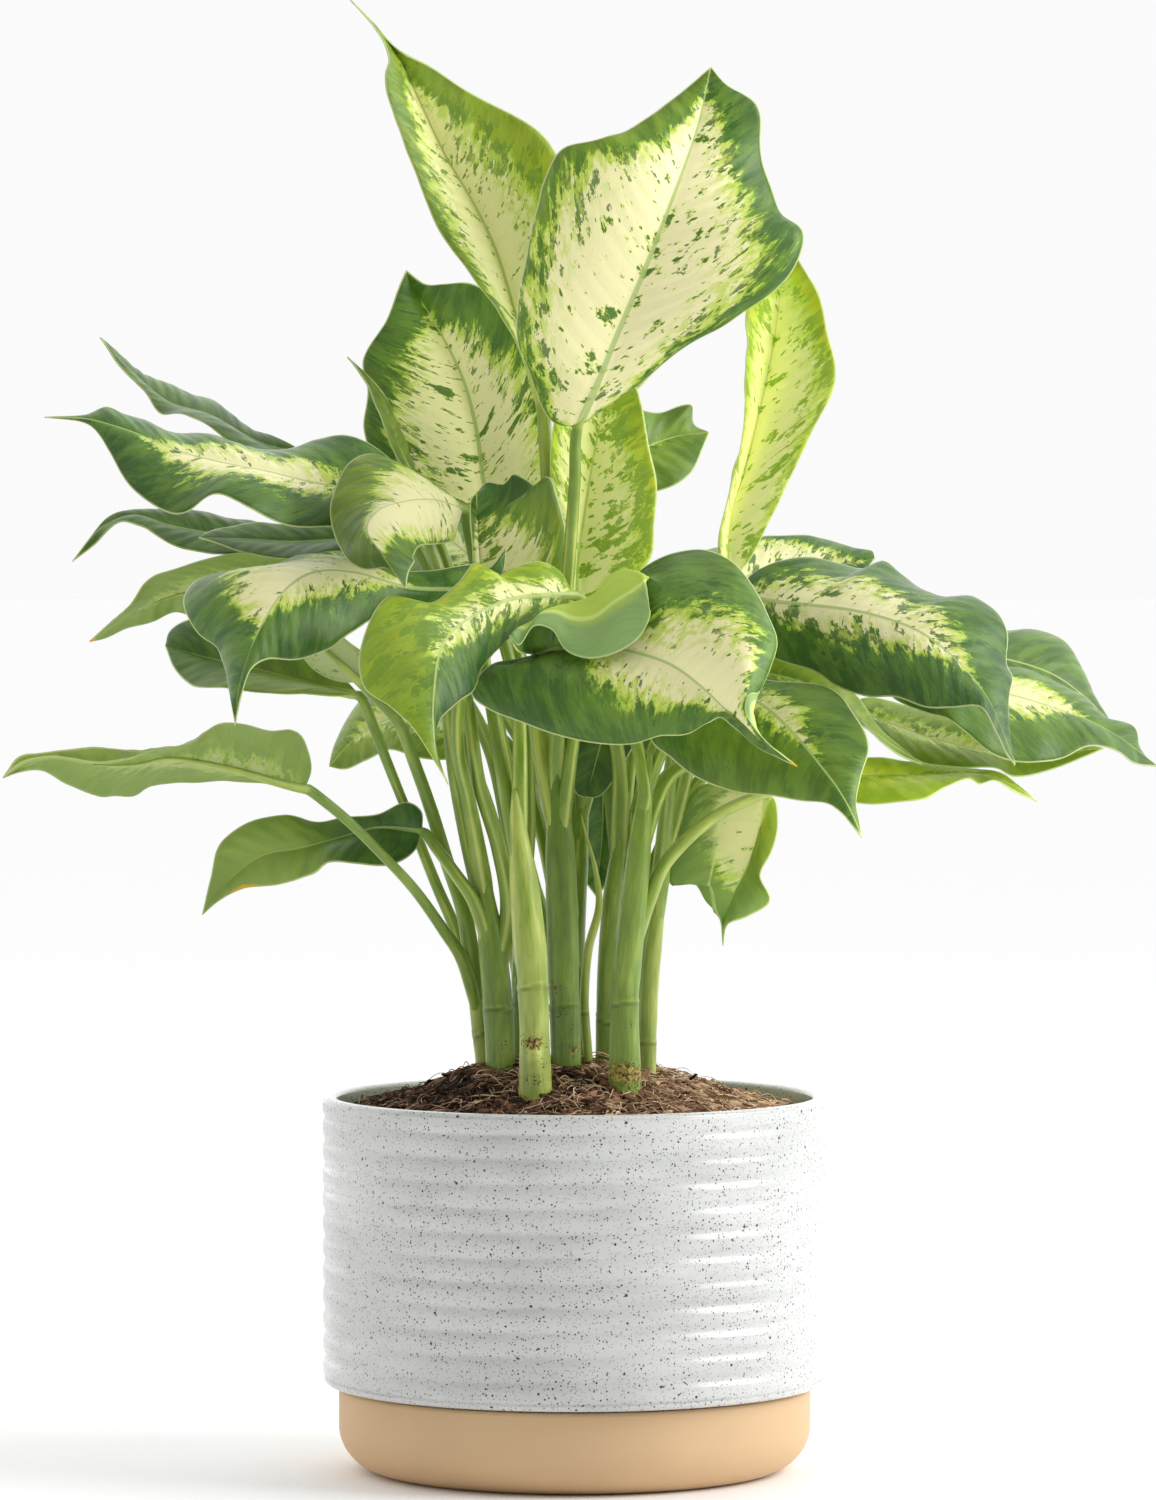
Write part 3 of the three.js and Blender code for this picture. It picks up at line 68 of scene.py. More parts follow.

# ---- The leaves ---------------------------------------------------------------------------------
#
# rib: the midrib from the blade's base to its tip, as x,z points in the plane y = 0
# left, right: the margins as they lie when the upper side is seen with the tip up
# left_mid: where a blade folds, the line halfway between its rib and its left margin
# rib_y, left_y, left_mid_y, right_y: how far each line lies behind that plane, spread evenly over it
# stalk: from the cane up to the blade, as x,z,y points;  stalk_width: times the usual width
# rib_width: width of the raised, pale rib, times its full width; 0.6 unless given
#
# A text of several of the values below is spread evenly from the blade's base to its tip.
# cream_left, cream_right: how far the cream reaches from the rib towards each margin, as shares of the way;
#   cream: the same for both
# flecks: how many green flecks lie in the cream
# streaky: above 0, the pattern is drawn out along the side veins; 0.35 unless given
# tone: 0 for a blue-green leaf, 1 for a yellow-green;  tone_left, tone_right: the same at each margin
# shade: times the colours of the blade, partly its own tone and partly painted light: a painted glow
#   where light comes through a backlit blade, and painted shade where a blade lies in shadow;
#   shade_left, shade_right: times those of each margin too, with the same painted light and shade
# shade_below: times the colours of the underside;  matt: how much the upper side looks like it
# burn: how brown the tip is;  scorch: side and place along the rib of a burn on a margin, -1 for left
# stalk_age: what is added to the stalk's age, so that it is paler below 0
# rolled_left, rolled_right: share of the way from rib to margin past which the blade is rolled over
# crest: share of the way from rib to margin where the underside has a pale line, yellow-green inside it

LEAVES = {
    "leaf_top_front": dict(
        rib="1,372 7,385 14,402 25,428 35,454 44,480 48.5,500", rib_y="-14 -22 -26 -24 -14 -6",
        left="-8,374 -17,392 -21,406 -17,432 -11,458 -4,471 10,474.5 26,481.5 37,490",
        left_y="-14 -24 -20 -24 -10",
        right="20,385 40,402 60,413 76,426 81,440 73,449 66,471 64,486 54,493.5",
        right_y="-16 -26 -18 -8 -8",
        stalk="-6,254,-8 -5.5,275,-10 -4,300,-8 -1.5,330,-11 0,352,-14",
        cream_left=".8 .92 .95 .9 .8 .5 .1", cream_right=".8 .88 .88 .8 .72 .5 .1", flecks=0.58,
        tone=0.12, shade=1.18, burn=0.5, rib_width=1.0, tone_left=".2 .2 .25 .3 .35",
        tone_right=".1 .1 .1 .1 .15", streaky=0, shade_left="1 1 1 .95", shade_right=".8 .8 .8 .88"),
    "leaf_top_left": dict(
        rib="-12,380 -18,400 -28,434 -36,451 -46,468 -55,487 -62,502 -70,513.5 -80,524",
        rib_y="12 20 27 26 18 12",
        left="-17,392 -24,409 -40,430 -50,445 -58,467 -65,486 -67,497 -65.5,503 -72,515",
        left_y="11 8 10 8 12",
        right="-5,394 2,412 4,436 -1,458 -10,474 -21,482.5 -38,491.5 -52,500.5 -62,505",
        right_y="12 16 22 20 14",
        stalk="-8.5,246,-6 -12,266,-1 -11.5,300,3 -9.5,325,6 -9,345,9 -10.5,365,12",
        cream_left=".78 .82 .82 .76 .65 .35 0", cream_right=".8 .75 .68 .6 .5 .2 -.1", flecks=0.62,
        tone=0.55, shade=1.15, rib_width=1.0, tone_left=".4", tone_right="1 .8 .6 .5 .5",
        streaky=0.05, shade_left=".9", stalk_width=1.45, stalk_age=-0.2),
    "leaf_top_right_young": dict(
        rib="54,318 55.5,340 60.5,357 65,375 69,392 72,410 74,428 75,440", rib_y="16 22 27 28 20",
        left="51,330 56,352 60,371 61.5,385 61.5,400 62,415 67,430", left_y="15 15 13 16",
        right="61,323 71.5,342.5 85,371 92,385 93,393 90,405 87,418 80,431", right_y="17 14 12 17",
        stalk="35,237,8 38,255,8 42,272,9 47,292,11 52,308,14",
        cream_left=".95 1 .95 .9 .8 .4 0", cream_right="1 1 .98 .92 .8 .55 .1", flecks=0.6, tone=1.0,
        shade=1.6, streaky=0.3, shade_left=".7", shade_right=".68", shade_below=0.75),
    "leaf_upper_left_broad": dict(
        rib="-28,335 -32,350 -35,372 -40,390 -48,406 -55,418 -60,428", rib_y="30 42 50 52 48",
        left="-42,338 -58,348 -70,358 -75.5,372 -74,385 -75.5,396 -67,410 -63,421", left_y="30 40 44 46",
        right="-18,342 -9,360 -9,382 -15,400 -24,414 -36,423 -46,423 -53,423", right_y="30 38 42 46",
        stalk="-17,232,21 -17,255,22 -19,280,24 -22,305,26 -25,322,28",
        cream_left=".6 .78 .8 .76 .6 .2 -.3", cream_right=".9 .95 .9 .75 .5 .1 -.3", flecks=0.6,
        tone=0.15, shade=1.3, rib_width=1.0, streaky=0.7, shade_left=".85", shade_right=".85"),
    "leaf_upper_left_narrow": dict(
        rib="-57,353 -62,363 -67,376 -70,384 -75,391 -81,397", rib_y="20 22 20 16",
        left="-62,359 -66.5,368 -69.5,379 -73,387", left_y="14 6 8 12",
        right="-57,358 -60,367 -64,377 -69.5,386", right_y="26 33 28 20",
        stalk="-19,222,18 -24,250,16 -31,280,15 -40,308,15 -50,335,17",
        cream=".1 .15 .1", flecks=0.3, tone=0.3),
    "leaf_centre_upright": dict(
        rib="0,306 1,325 4,345 8,368 13,388 17,402", rib_y="2 8 12 12 8",
        left="-5,318 -7,335 -8.5,352 -8.5,366 -5,382 6,396", left_y="2 3 4 8",
        right="14,314 27,325 28.5,338 29.3,352 26.5,365 24,380 20,394", right_y="2 0 0 4",
        stalk="19,238,15 15,258,13 8,276,10 2,292,5",
        cream_left=".85 1 1 .95 .8 .5 0", cream_right=".85 .9 .9 .8 .6 .3 0", flecks=0.95, tone=0.8,
        shade=1.45, rib_width=1.0, tone_right="1", tone_left="1", streaky=0.1, shade_right=".8"),
    "leaf_small_back": dict(
        rib="12,355 24,364 36,368.5 48,370", rib_y="54 66 74 78",
        left="15,369 22,378 31,377.5 42,380 43,373", left_y="62 76 82",
        right="20,347 29,349 36,351.5 42,356.5 45.5,364", right_y="56 62 72",
        stalk="6,246,40 10,268,41 10,300,44 10,330,49",
        cream_left="-.1 .1 .1 0", cream_right="-.1 .2 .1 0", flecks=0.35, tone=0.3, burn=0.5),
    "leaf_far_left_back": dict(
        rib="-95,362 -112,366 -130,376 -145,381 -158,392 -169,404", rib_y="44 58 70 78 84",
        left="-108,360 -120,365 -131,373 -138,376.5 -147,376.5 -154,385 -163,395", left_y="42 44 58 76",
        right="-103,367 -115,372 -127,380 -140,384.5 -154,390.5 -164,399", right_y="52 80 92 90",
        stalk="-1,212,41 -9,238,41 -20,262,40 -42,290,38 -64,322,38 -82,350,40",
        cream="-.3 -.2 -.2 -.3", flecks=0.2, tone=0.15),
    "leaf_left_long": dict(
        rib="-60,350 -72,350 -88,351 -110,356 -125,359 -140,363 -160,371 -175,375 -189,375.5",
        rib_y="-6 -18 -26 -26 -20 -14",
        left="-66,342 -75,337.5 -88,336.5 -102,337 -115,343.5 -127,348 -140,341 -149,343.5 "
             "-158,350.5 -166,363.5 -173,373",
        left_y="-12 -40 -52 -48 -36 -18",
        right="-64,359 -78,368 -92,368.5 -107,364.5 -117,366 -130,369 -142,368.5 -154,373.5 "
              "-166,379 -175,376",
        right_y="-3 0 -2 0 -8 -14",
        stalk="-27,184,-6 -23.5,200,-7 -27,222,-9 -34,245,-10 -37.5,269,-9 -42,295,-8 -48,320,-7 "
              "-55,338,-7",
        cream_left="-.3 .2 .5 .6 .52 .2 -.25 -.5", cream_right="-.3 .2 .5 .6 .42 .1 -.35 -.6",
        flecks=0.45, tone=0.1, shade=1.1, shade_left=".9 .9 .85 .85 .85 .9", streaky=0.15),
    "leaf_centre_left_curl": dict(
        rib="-40,343 -50,346 -60,345.5 -70,342 -74,335 -68,326 -60,314.5", rib_y="-1 -30 -52 -68 -76 -80",
        left="-42,336 -46,331 -52,330 -56,329 -58,324 -59.5,319.5", left_y="-10 -32 -50 -66 -76",
        right="-47,350 -60,356.5 -72,361 -80,358.5 -85,350 -87,338 -83,328 -75,322.5 -67,322.5 "
              "-62,319",
        right_y="-10 -26 -42 -56 -68 -76",
        stalk="-21,220,-36 -24,240,-30 -28,264,-15 -32,290,-1 -34,315,7 -37.5,333,6",
        cream_left="1.0 1.05 1.0 .9 .5 -.5", cream_right=".7 .75 .65 .4 .15 -.4", flecks=0.4, tone=0.15,
        shade=0.8, rib_width=0.25, shade_left=".86 .86 .9 .95 1", streaky=0.6,
        tone_right=".2 .3 .5 .3 .1"),
    "leaf_centre_small": dict(
        rib="-33,317 -34,327 -34.5,338 -35,349", rib_y="-9 -6 -3 -8",
        left="-35.8,321 -36.6,330 -37.3,339 -37,346", left_y="-8 -5 -5",
        right="-22,317.5 -8,316 -2,321 -3,332 -4,339 -6.6,348 -9,354 -13.4,351 -17,353.5 -22,355.5 "
              "-25,352 -31,352.5",
        right_y="-8 -3 -6 -8 -4 -4",
        stalk="-20.5,240,-34 -19.5,258,-27 -20.5,276,-18 -26,298,-11",
        cream_left=".7 .85 .8 .5 .1 -.4", cream_right=".8 .9 .8 .35 -.1 -.5", flecks=0.9,
        tone=".6 .5 .3 .1 .1", shade=1.15, tone_right=".8 .7 .4 .1 .1",
        shade_right=".95 .85 .85 .8 .75 .75", rib_width=0.3, streaky=0.8),
    "leaf_left_dark_tip": dict(
        rib="-95,330 -115,332 -130,334 -145,337 -157,340.5 -168,336.5 -179,324",
        rib_y="18 28 34 36 36 34",
        left="-101,325 -112,326 -124,326.5 -134,328 -145,330.5 -154,337.5 -162,338.5 -171,330",
        left_y="14 10 16 26 34",
        right="-101,336 -114,338 -128,340.5 -140,342.3 -154,343.5 -165,341 -173,332",
        right_y="26 46 48 40 36",
        stalk="-18,204,22 -24,232,26 -32,262,26 -48,288,23 -70,312,19 -86,325,17",
        cream="-.5 -.4 -.5", flecks=0.2, tone=0.15),
    "leaf_left_dark_lens": dict(
        rib="-60,333 -80,332 -100,331 -118,332 -134,332.5", rib_y="2 2 3 5 6",
        left="-70,328 -87,326.5 -100,324 -115,326.5 -127,330.5", left_y="-2 -16 -12 0",
        right="-70,336 -85,336.5 -100,337 -118,336.5 -130,335", right_y="4 12 15 12",
        stalk="-32,204,-4 -38,224,1 -43,250,2 -46,280,3 -49,305,3 -53,323,2",
        cream="-.5 -.4 -.5", flecks=0.2, tone=0.15),
    "leaf_left_pale": dict(
        rib="-78,312 -100,314 -120,316 -140,313 -157,306.5 -173,295.5", rib_y="6 6 8 12 18 24",
        left="-90,321 -105,324.5 -118,326.5 -130,325.5 -144,322 -152,317.5 -158,309 -164,304",
        left_y="2 -10 -8 2 14",
        right="-90,303 -105,298 -120,298 -132,303 -142,306.5 -150,303.5 -160,300.5 -167,297",
        right_y="10 26 30 28 26",
        stalk="-18,188,22 -26,218,29 -36,250,31 -48,274,26 -62,296,16 -71,307,8",
        cream=".4 .6 .5 .3 -.2", flecks=0.6, tone=0.5, burn=1.0,
        shade=1.1, matt=".8 .8 .7 .5 .3"),
    "leaf_left_front": dict(
        rib="-29,316 -44,314.5 -60,315 -78,320 -92,320.5 -102,315 -110,304 -116,291 -119.5,279 "
            "-121,265.5",
        rib_y="-17 -24 -34 -50 -66 -76 -82 -84",
        left="-36,311 -46,307 -58,305 -67,306 -73,303.5 -80,299 -89,292.5 -100,289 -109,289.5 "
             "-115,286 -118.5,277",
        left_y="-17 -24 -38 -54 -70 -80 -84",
        right="-25.5,320.5 -24.3,329.5 -28.5,323 -37,323.5 -50,321 -62,320.7 -72,322.5 -84,325 "
              "-97,325.3 -110,321 -122,319.3 -134,317 -139,310 -134,299 -126,291.5 -123.5,281 -122,271",
        right_y="-16 -16 -20 -22 -26 -44 -64 -83",
        stalk="-34,218,-8 -38,240,-12.5 -41.5,257,-16 -41,275,-16 -36,295,-14 -31.5,308,-14",
        cream_left="-.6 -.2 .5 .6 .3 -.4 -.8", cream_right="-.6 0 .8 .85 .6 -.2 -.8", flecks=0.4,
        tone=0.1, shade=1.1, shade_left="1.3 1.2 .95 .9 .9 .95", shade_right="1.4 1.35 1.1 1 1 1",
        streaky=0.1),
    "leaf_centre_left_front": dict(
        rib="-1,312.5 -12,312 -22,311 -32,307 -43,300 -48,292 -50,280 -50.5,266 -49,254 -45,244.5",
        rib_y="-21 -38 -58 -78 -94 -102 -106",
        left="-8,305 -18,299.5 -27,294 -32,287 -36,278.5 -42,273.5 -48.5,267 -49.5,258 -47.5,251",
        left_y="-23 -42 -68 -88 -98 -104",
        right="-5,320.5 -13,324.5 -23,322 -28,319.5 -35,324 -42,316 -50,310 -58,309.5 -66,312.5 "
              "-73,303.5 -77,290 -75,279 -66,272.5 -58,265 -51,254.5",
        right_y="-20 -28 -42 -58 -74 -88 -98 -104",
        stalk="-4,236,-9 -1.5,252,-11 0.5,266,-10 3,282,-8 4,298,-8 4,308,-13",
        cream_left=".4 .6 .6 .45 .15 -.15 -.5", cream_right=".5 .75 .65 .4 .1 -.1 -.4", flecks=1.0,
        tone=0.3, shade=1.04, tone_left=".5 .2 0 0 0 .2", tone_right="1 1 1 1 1 1 .7",
        shade_left=".9 .7 .6 .62 .7 .8", shade_right="1.05 1 1 .95 .95 .9", streaky=0.1),
    "leaf_low_left_back": dict(
        rib="-77,277 -95,281 -115,286 -132,290 -146,294", rib_y="18 28 40 50 56",
        left="-84,276 -97,276.3 -110,276 -124,278 -134,278.5 -142,285", left_y="16 12 22 44",
        right="-83,283 -96,291 -112,299 -126,303 -137,302.5 -144,299", right_y="24 44 62 62",
        stalk="-37.5,178,8 -43,194,13 -49,208,16 -55,223,19 -61,238,20 -67,253,19 -72,266,18",
        cream="-.3 -.2 -.2 -.4", flecks=0.3, tone="0.8 0.5 0.2 0.1",
        tone_left=".9 .7 .3 .1", tone_right=".5 .3 .1 .1", shade=1.05, stalk_width=0.8),
    "leaf_low_left_cream": dict(
        rib="-76,281 -84,289 -95,298 -112,307", rib_y="-2 -6 -10 -14",
        left="-72,287 -80,296 -92,304 -102,307.5", left_y="-4 -14 -16",
        right="-84,281.5 -93,286 -99,293 -106,300", right_y="0 2 -8",
        stalk="-36,187,4 -39.5,199,4 -45.5,217,8 -51,235,10 -57,252,7 -63,267,3 -70,275,0",
        cream="1 1.1 1 .8", flecks=0.2, tone=0.2, shade=1.05),
    "leaf_low_left_front": dict(
        rib="-96,243.5 -110,247.5 -125,251.5 -145,254.5 -158,252 -172,252 -188,254 -204,247",
        rib_y="-26 -42 -54 -64 -72 -76",
        left="-94,249 -95,257 -99,263.5 -108,265 -125,266 -137,259 -150,259 -170,257.5 -190,256 "
             "-198,254.5",
        left_y="-28 -48 -66 -74 -76 -78",
        right="-100,242.5 -112,245.5 -130,246 -150,244 -160,240.5 -170,241.5 -180,244 -190,249.5 "
              "-198,249",
        right_y="-24 -30 -38 -50 -68 -76",
        stalk="-36,170,3 -40,182,1 -47,193,-3 -57,207,-9 -68,219,-15 -79,230,-20 -89,238.5,-24",
        cream_left=".3 .4 .3 .1 -.1 -.3", cream_right=".5 .7 .6 .4 0 -.3", flecks=0.5, tone=0.45,
        shade=1.0, stalk_width=0.78, rolled_left="2 2 2 2 1.6 .9 .25 .05 .1 .3 .6",
        tone_left=".45 .45 .5 .8 .8"),
    "leaf_low_left_second": dict(
        rib="-54.5,228 -70,229 -85,225 -97,222 -112,219 -124,209 -133,198", rib_y="4 10 14 16 18 18",
        left="-57,221 -65,216 -78,216 -88,217 -95,212.5 -105,209 -118,207.5 -127,203",
        left_y="2 -2 2 14 18",
        right="-54.5,235 -60,238.5 -70,234 -82,233 -92,231.5 -103,234.5 -115,232 -126,224 -130,211",
        right_y="4 10 18 16 16",
        stalk="-31,194,-7 -36,203,-9 -42,212,-6 -49,221.5,-1",
        cream="-.4 -.3 -.2 -.2 -.3", flecks=0.3,
        tone="0.05 0.1 0.5 0.6 0.5", shade=".85 .9 1.1 1.1 1", tone_left="0 .1 .5 .6 .5",
        tone_right="0 .1 .5 .6 .5", matt="0 0 .1 .75 .85 .85", scorch=[-1, 0.78]),
    "leaf_low_left_far_back": dict(
        rib="-38,264 -50,268 -65,268 -78,261 -87.5,251", rib_y="58 70 80 86",
        left="-44,254 -55,254 -66,257 -75,253 -82,250", left_y="56 58 74 84",
        right="-42,273 -55,283 -70,281 -80,271.5 -86,259", right_y="62 86 94 90",
        stalk="-1,180,38 -7,205,43 -13,232,47 -20,254,52 -30,264,56",
        cream=".5 .6 .5 .3 -.2", flecks=0.5, tone=0.5),
    "leaf_centre_front": dict(
        rib="-14,291 0,293 12,293 22,291.5 35,287 46,279 54,271.5 60,266.5 66,261 73,256 79.5,251",
        rib_y="-38 -46 -58 -72 -88 -102 -110",
        left="-20.5,292.5 -23.5,298.3 -20,294.2 -14.5,301.3 -8,300 -3,292.5 5,289.5 15,291.5 24,297.5 "
             "27,305.5 23,312.5 21,319.5 31,326 45,328.3 55,325 62,317.5 68,307.5 71,297 69.5,287 "
             "66,277.5 61.5,276.5 61,270 68,260.5",
        left_y="-50 -53 -50 -54 -62 -60 -44 -38 -48 -62 -78 -94 -106",
        right="-21,289.5 -29,288 -34,284 -37,277 -31,271.5 -20,267 -10,263.5 5,260 20,259 "
              "31,262.3 40,262.5 46,266 51,268.8 57,264.5 64,258.5 72,254.6",
        right_y="-42 -46 -50 -56 -66 -76 -88 -104",
        left_mid="-16,296 -15,301 -9,306 0,309.5 7,312.5 13,319.5 19,321 26,317 40,309 52,299 60,287 "
                 "61,273 68,259.5",
        left_mid_y="-44 -43 -41 -42 -46 -54 -70 -88 -104",
        stalk="26.5,252,-32 20,266,-29 11,276,-29 0,283,-31 -8,288,-34",
        cream_left="0 .1 .3 .65 .85 .3 -.4", cream_right="-.4 .1 .5 .6 .35 -.2 -.5", flecks=0.3,
        tone=0.12, shade=1.22, burn=0.8, crest=0.8, shade_left="1.1 1 .9 .8 1 1 1",
        shade_right=".72 .8 .9 .95 .95 .95", streaky=0.5, shade_below=1.3),
    "leaf_right_long": dict(
        rib="58,312 70,310 85,308.5 100,306.5 112,303.5 122,299.5 132,292.5 141,283.5 148,273.5 "
            "153,262 157,251.3",
        rib_y="-14 -26 -36 -44 -50 -56 -58",
        left="62,318.5 70,323.5 85,325.3 95,323.5 103,322.3 110,324.8 117,320 125,314 134,310 "
             "142,310.5 149,306 153,299 155,288 157,283 155,274 155.3,260",
        left_y="-12 -2 2 -4 -14 -26 -40 -54",
        right="62,299 70,290 85,285 93,280 105,275.8 115,275.5 126,272 134,272.5 145,273 150,263.5 "
              "153.5,256",
        right_y="-18 -34 -48 -60 -62 -60",
        stalk="32,218,-7 33,238,-12 35,255,-13 39,273,-12 46,292,-12 53,305,-12",
        cream_left=".45 .62 .62 .5 .3 0 -.4", cream_right=".25 .5 .55 .5 .3 -.1 -.5", flecks=0.65,
        tone=0.08, shade=0.95, shade_right=".8 .78 .8 .8 .85", streaky=0.1),
    "leaf_right_back_top": dict(
        rib="50,312 62,319 80,322 96,323 107,325", rib_y="34 44 56 62 66",
        left="53,321 60,329 67,333.5 82,333.8 92,332 100,329.3 106,328", left_y="40 58 74 70",
        right="60,308 74,306 90,309 101,317", right_y="32 36 44 58",
        stalk="20,230,28 26,250,30 33,270,31 42,293,32",
        cream_left=".9 .95 .85 .5 .1", cream_right=".95 1 .9 .6 .2", flecks=0.95, tone=0.1, shade=0.95),
    "leaf_right_far_back": dict(
        rib="112,292 130,292 150,290 170,284 182,275.5 191.5,266", rib_y="44 56 66 72 74",
        left="120,300 135,303 153,300.3 166,300 175,295.5 181,286 187,274", left_y="50 74 90 88 80",
        right="120,284 140,277 160,271 177,267", right_y="42 46 54 66",
        stalk="19.5,214,31 26,232,38 42,254,42 70,276,43 94,287,43",
        cream="-.5 -.4 -.4 -.5", flecks=0.2, tone=0.2),
    "leaf_right_far": dict(
        rib="108,281 124,281 140,279.5 155,276.5 170,272 185,266.5 196,260 208,251",
        rib_y="6 12 18 22 24 24",
        left="118,288 135,290 152,287.5 165,285 175,280 184,274 190,268 199,264.5 201.5,258 "
             "204.5,253",
        left_y="10 32 42 40 32 26",
        right="115,274.5 125,270.5 134,268.5 141,263.5 148,257.3 156,253.3 166,252.8 175,254.5 "
              "184,258.5 193,256 200,252",
        right_y="4 -8 -10 -4 8 20",
        stalk="24.5,234,-31 33,247,-25 46,255,-20 58,261,-12 70,267,-4 84,274,1 97,279,4",
        cream_left="0 .4 .5 .6 .3 -.2 -.6", cream_right="-.2 .1 .4 .5 .2 -.3 -.6", flecks=0.3,
        tone=0.15, shade=1.0),
    "leaf_right_under": dict(
        rib="96,272 110,267 130,260 150,256 170,256 189,257.5", rib_y="16 22 30 36 38",
        left="104,275.5 120,271.5 140,268 160,262 178,259.5", left_y="24 42 50 44",
        right="101,267.5 107,262.5 115,257 125,251.5 140,250 150,249.5 158,247.5 170,250 182,254.5",
        right_y="14 10 14 28 36",
        stalk="18,192,29 27,212,27 40,240,25 58,259,22 80,269,18",
        cream=".3 .4 .3 0", flecks=0.4, tone=0.6, shade=1.2),
    "leaf_right_low_yellow": dict(
        rib="92,248 108,247.5 128,248 146,248 156,244.5 165,238.5", rib_y="-4 2 6 8 8",
        left="97,253.5 108,253.8 120,252.5 130,250.7 142,250 151,249.5 158,244.6", left_y="-2 8 12 10",
        right="98,239 105,237 115,237.5 125,239 132,243 140,246 144,244.3 150,246 157,242",
        right_y="-8 -14 -4 6",
        stalk="19.5,220,28 30,240,18 42,251,12 58,254,7 76,252,1",
        cream=".1 .2 .1 0", flecks=0.3, tone=1.0, shade=1.34),
    "leaf_right_front": dict(
        rib="46,276 57,277 66,273.5 74,267 82,258.5 88,251 94,243 99,234 102.5,225.5",
        rib_y="-28 -38 -50 -60 -70 -76 -78",
        left="50,282 60,283 75,281.3 88,280.8 95,276.5 100,269.5 104,262.5 105,257 102.5,247 "
             "100.5,238 101.5,231",
        left_y="-28 -36 -48 -60 -70 -76",
        right="37,270 28,260.5 35,254 42,248.3 51,243.7 60,241.5 70,240.6 80,238.7 90,237.8 "
              "95,234.5 100,228.5",
        right_y="-30 -40 -50 -62 -74 -78",
        stalk="28.5,250,-31 33,261,-28 39,270,-26",
        cream_left=".6 .55 .35 0 -.4", cream_right=".25 .35 .15 -.2 -.5", flecks=0.45, tone=0.15,
        shade="1.0 1.0 1.05 1.15 1.25", tone_left=".1 .15 .2 .25 .3", tone_right=".05 .2 .35 .25 .1"),
    "leaf_right_strip": dict(
        rib="56,284 68,284 80,281 93,274 105,264.5 115,257.5 124,251.5", rib_y="-10 -8 -6 -4 -2",
        left="60,291.5 70,293.5 82,290.5 93,283.5 102,272.5 111,262.5 118,256.7", left_y="-8 0 2 0",
        right="60,278 72,272 84,268.5 95,266 102,264.5 109,259.5 116,254.8", right_y="-14 -22 -16 -6",
        stalk="32,218,8 37,236,1 41,252,-6 46,268,-11 51,278,-12",
        cream=".1 .2 .1 0", flecks=0.4, tone=0.55),
    "leaf_right_hanging": dict(
        rib="69,241.5 67,231 63,218 57,206 53.5,196 53,187", rib_y="-12 0 8 10 6",
        left="71.5,239.5 72.6,230 70.5,221 66,211.5 69.5,202.5 62,198 54.5,195", left_y="-10 -2 2 4",
        right="62,243.5 52,245.5 43,243.5 38.5,236 35,222 34.5,209 41,209.5 47,202 52,197.5",
        right_y="-6 8 14 14 8",
        stalk="23,196,-32 27.5,206,-29 31,214.5,-28 37,222,-27 45,229.5,-24 53,235,-20 61,238.8,-16",
        cream_left="-.1 0 -.1 -.3 -.5", cream_right=".95 1 .75 .35 -.1 -.4", flecks=0.3,
        tone=".9 .8 .5 .3 .3", shade="1.25 1.3 1.5 1.8 2.1", matt="0 0 .3 .8 1",
        rolled_right=".95 .7 .45 .4 .55 .9", tone_right=".7 .3 .2 .2 .2", stalk_age=-0.25),
    "leaf_back_dark": dict(
        rib="6,290 9,278 10,255 10,230 8,204", rib_y="66 78 82 80 72",
        left="18,287 27,268 27,245 20,222", left_y="64 74 76 74",
        right="-6,286 -14,268 -12,244 -3,220", right_y="64 72 76 74",
        stalk="2.5,250,43 2,266,50 3,280,56 4,290,61",
        cream="-.5 -.4 -.5", flecks=0.2, tone=0.1),
    "leaf_back_rounded": dict(
        rib="14,290 13,278 10,262 4,240", rib_y="24 20 20 22",
        left="22,280 22,262 16,250 9,240.5", left_y="22 20 21",
        right="5,285 0,270 -1,252 0.5,241.5", right_y="24 22 22",
        stalk="18,220,28 13,240,30 13,262,31 14,284,29",
        cream="-.5 -.4 -.5", flecks=0.2, tone=0.15),
    "leaf_rear_left": dict(
        rib="-30,318 -42,330 -58,338 -76,340 -92,334", rib_y="62 88 112 132 146",
        left="-38,314 -56,318 -76,322 -88,326", left_y="64 82 112 138",
        right="-32,330 -44,346 -64,352 -84,346", right_y="70 112 142 152",
        stalk="0,198,41 -4,220,50 -9,245,55 -15,275,56 -23,302,58",
        cream=".2 .4 .5 .3 -.3", flecks=0.5, tone=0.25),
    "leaf_rear_right": dict(
        rib="32,300 44,312 60,318 76,314 88,304", rib_y="56 86 112 134 146",
        left="30,312 42,326 62,330 80,322", left_y="64 106 138 150",
        right="42,298 60,296 78,298 86,300", right_y="58 76 108 138",
        stalk="17,188,31 17,215,37 19,245,42 23,270,47 27,288,51",
        cream=".2 .4 .5 .3 -.3", flecks=0.5, tone=0.25),
    "leaf_rear_upper": dict(
        rib="4,376 8,392 14,410 24,428 32,440", rib_y="54 70 86 102 114",
        left="-6,386 -10,404 0,424 18,438", left_y="58 74 96 110",
        right="16,380 30,394 38,412 37,430", right_y="58 72 92 108",
        stalk="1,234,41 -5,256,43 -5,285,46 -3,315,48 -1,345,50",
        cream=".5 .7 .7 .4 -.1", flecks=0.55, tone=0.35),
    "leaf_rear_low": dict(
        rib="-4,282 -6,292 -8,290 -12,280 -15,266", rib_y="88 106 128 148 160",
        left="7,284 16,284 8,275 -6,266", left_y="92 118 146 158",
        right="-16,282 -30,280 -30,270 -22,264", right_y="92 118 144 156",
        stalk="-1,170,40 -8,188,49 -15,210,55 -20,236,61 -18,258,72 -11,274,84",
        cream=".2 .35 .35 .1 -.3", flecks=0.5, tone=0.2),
}

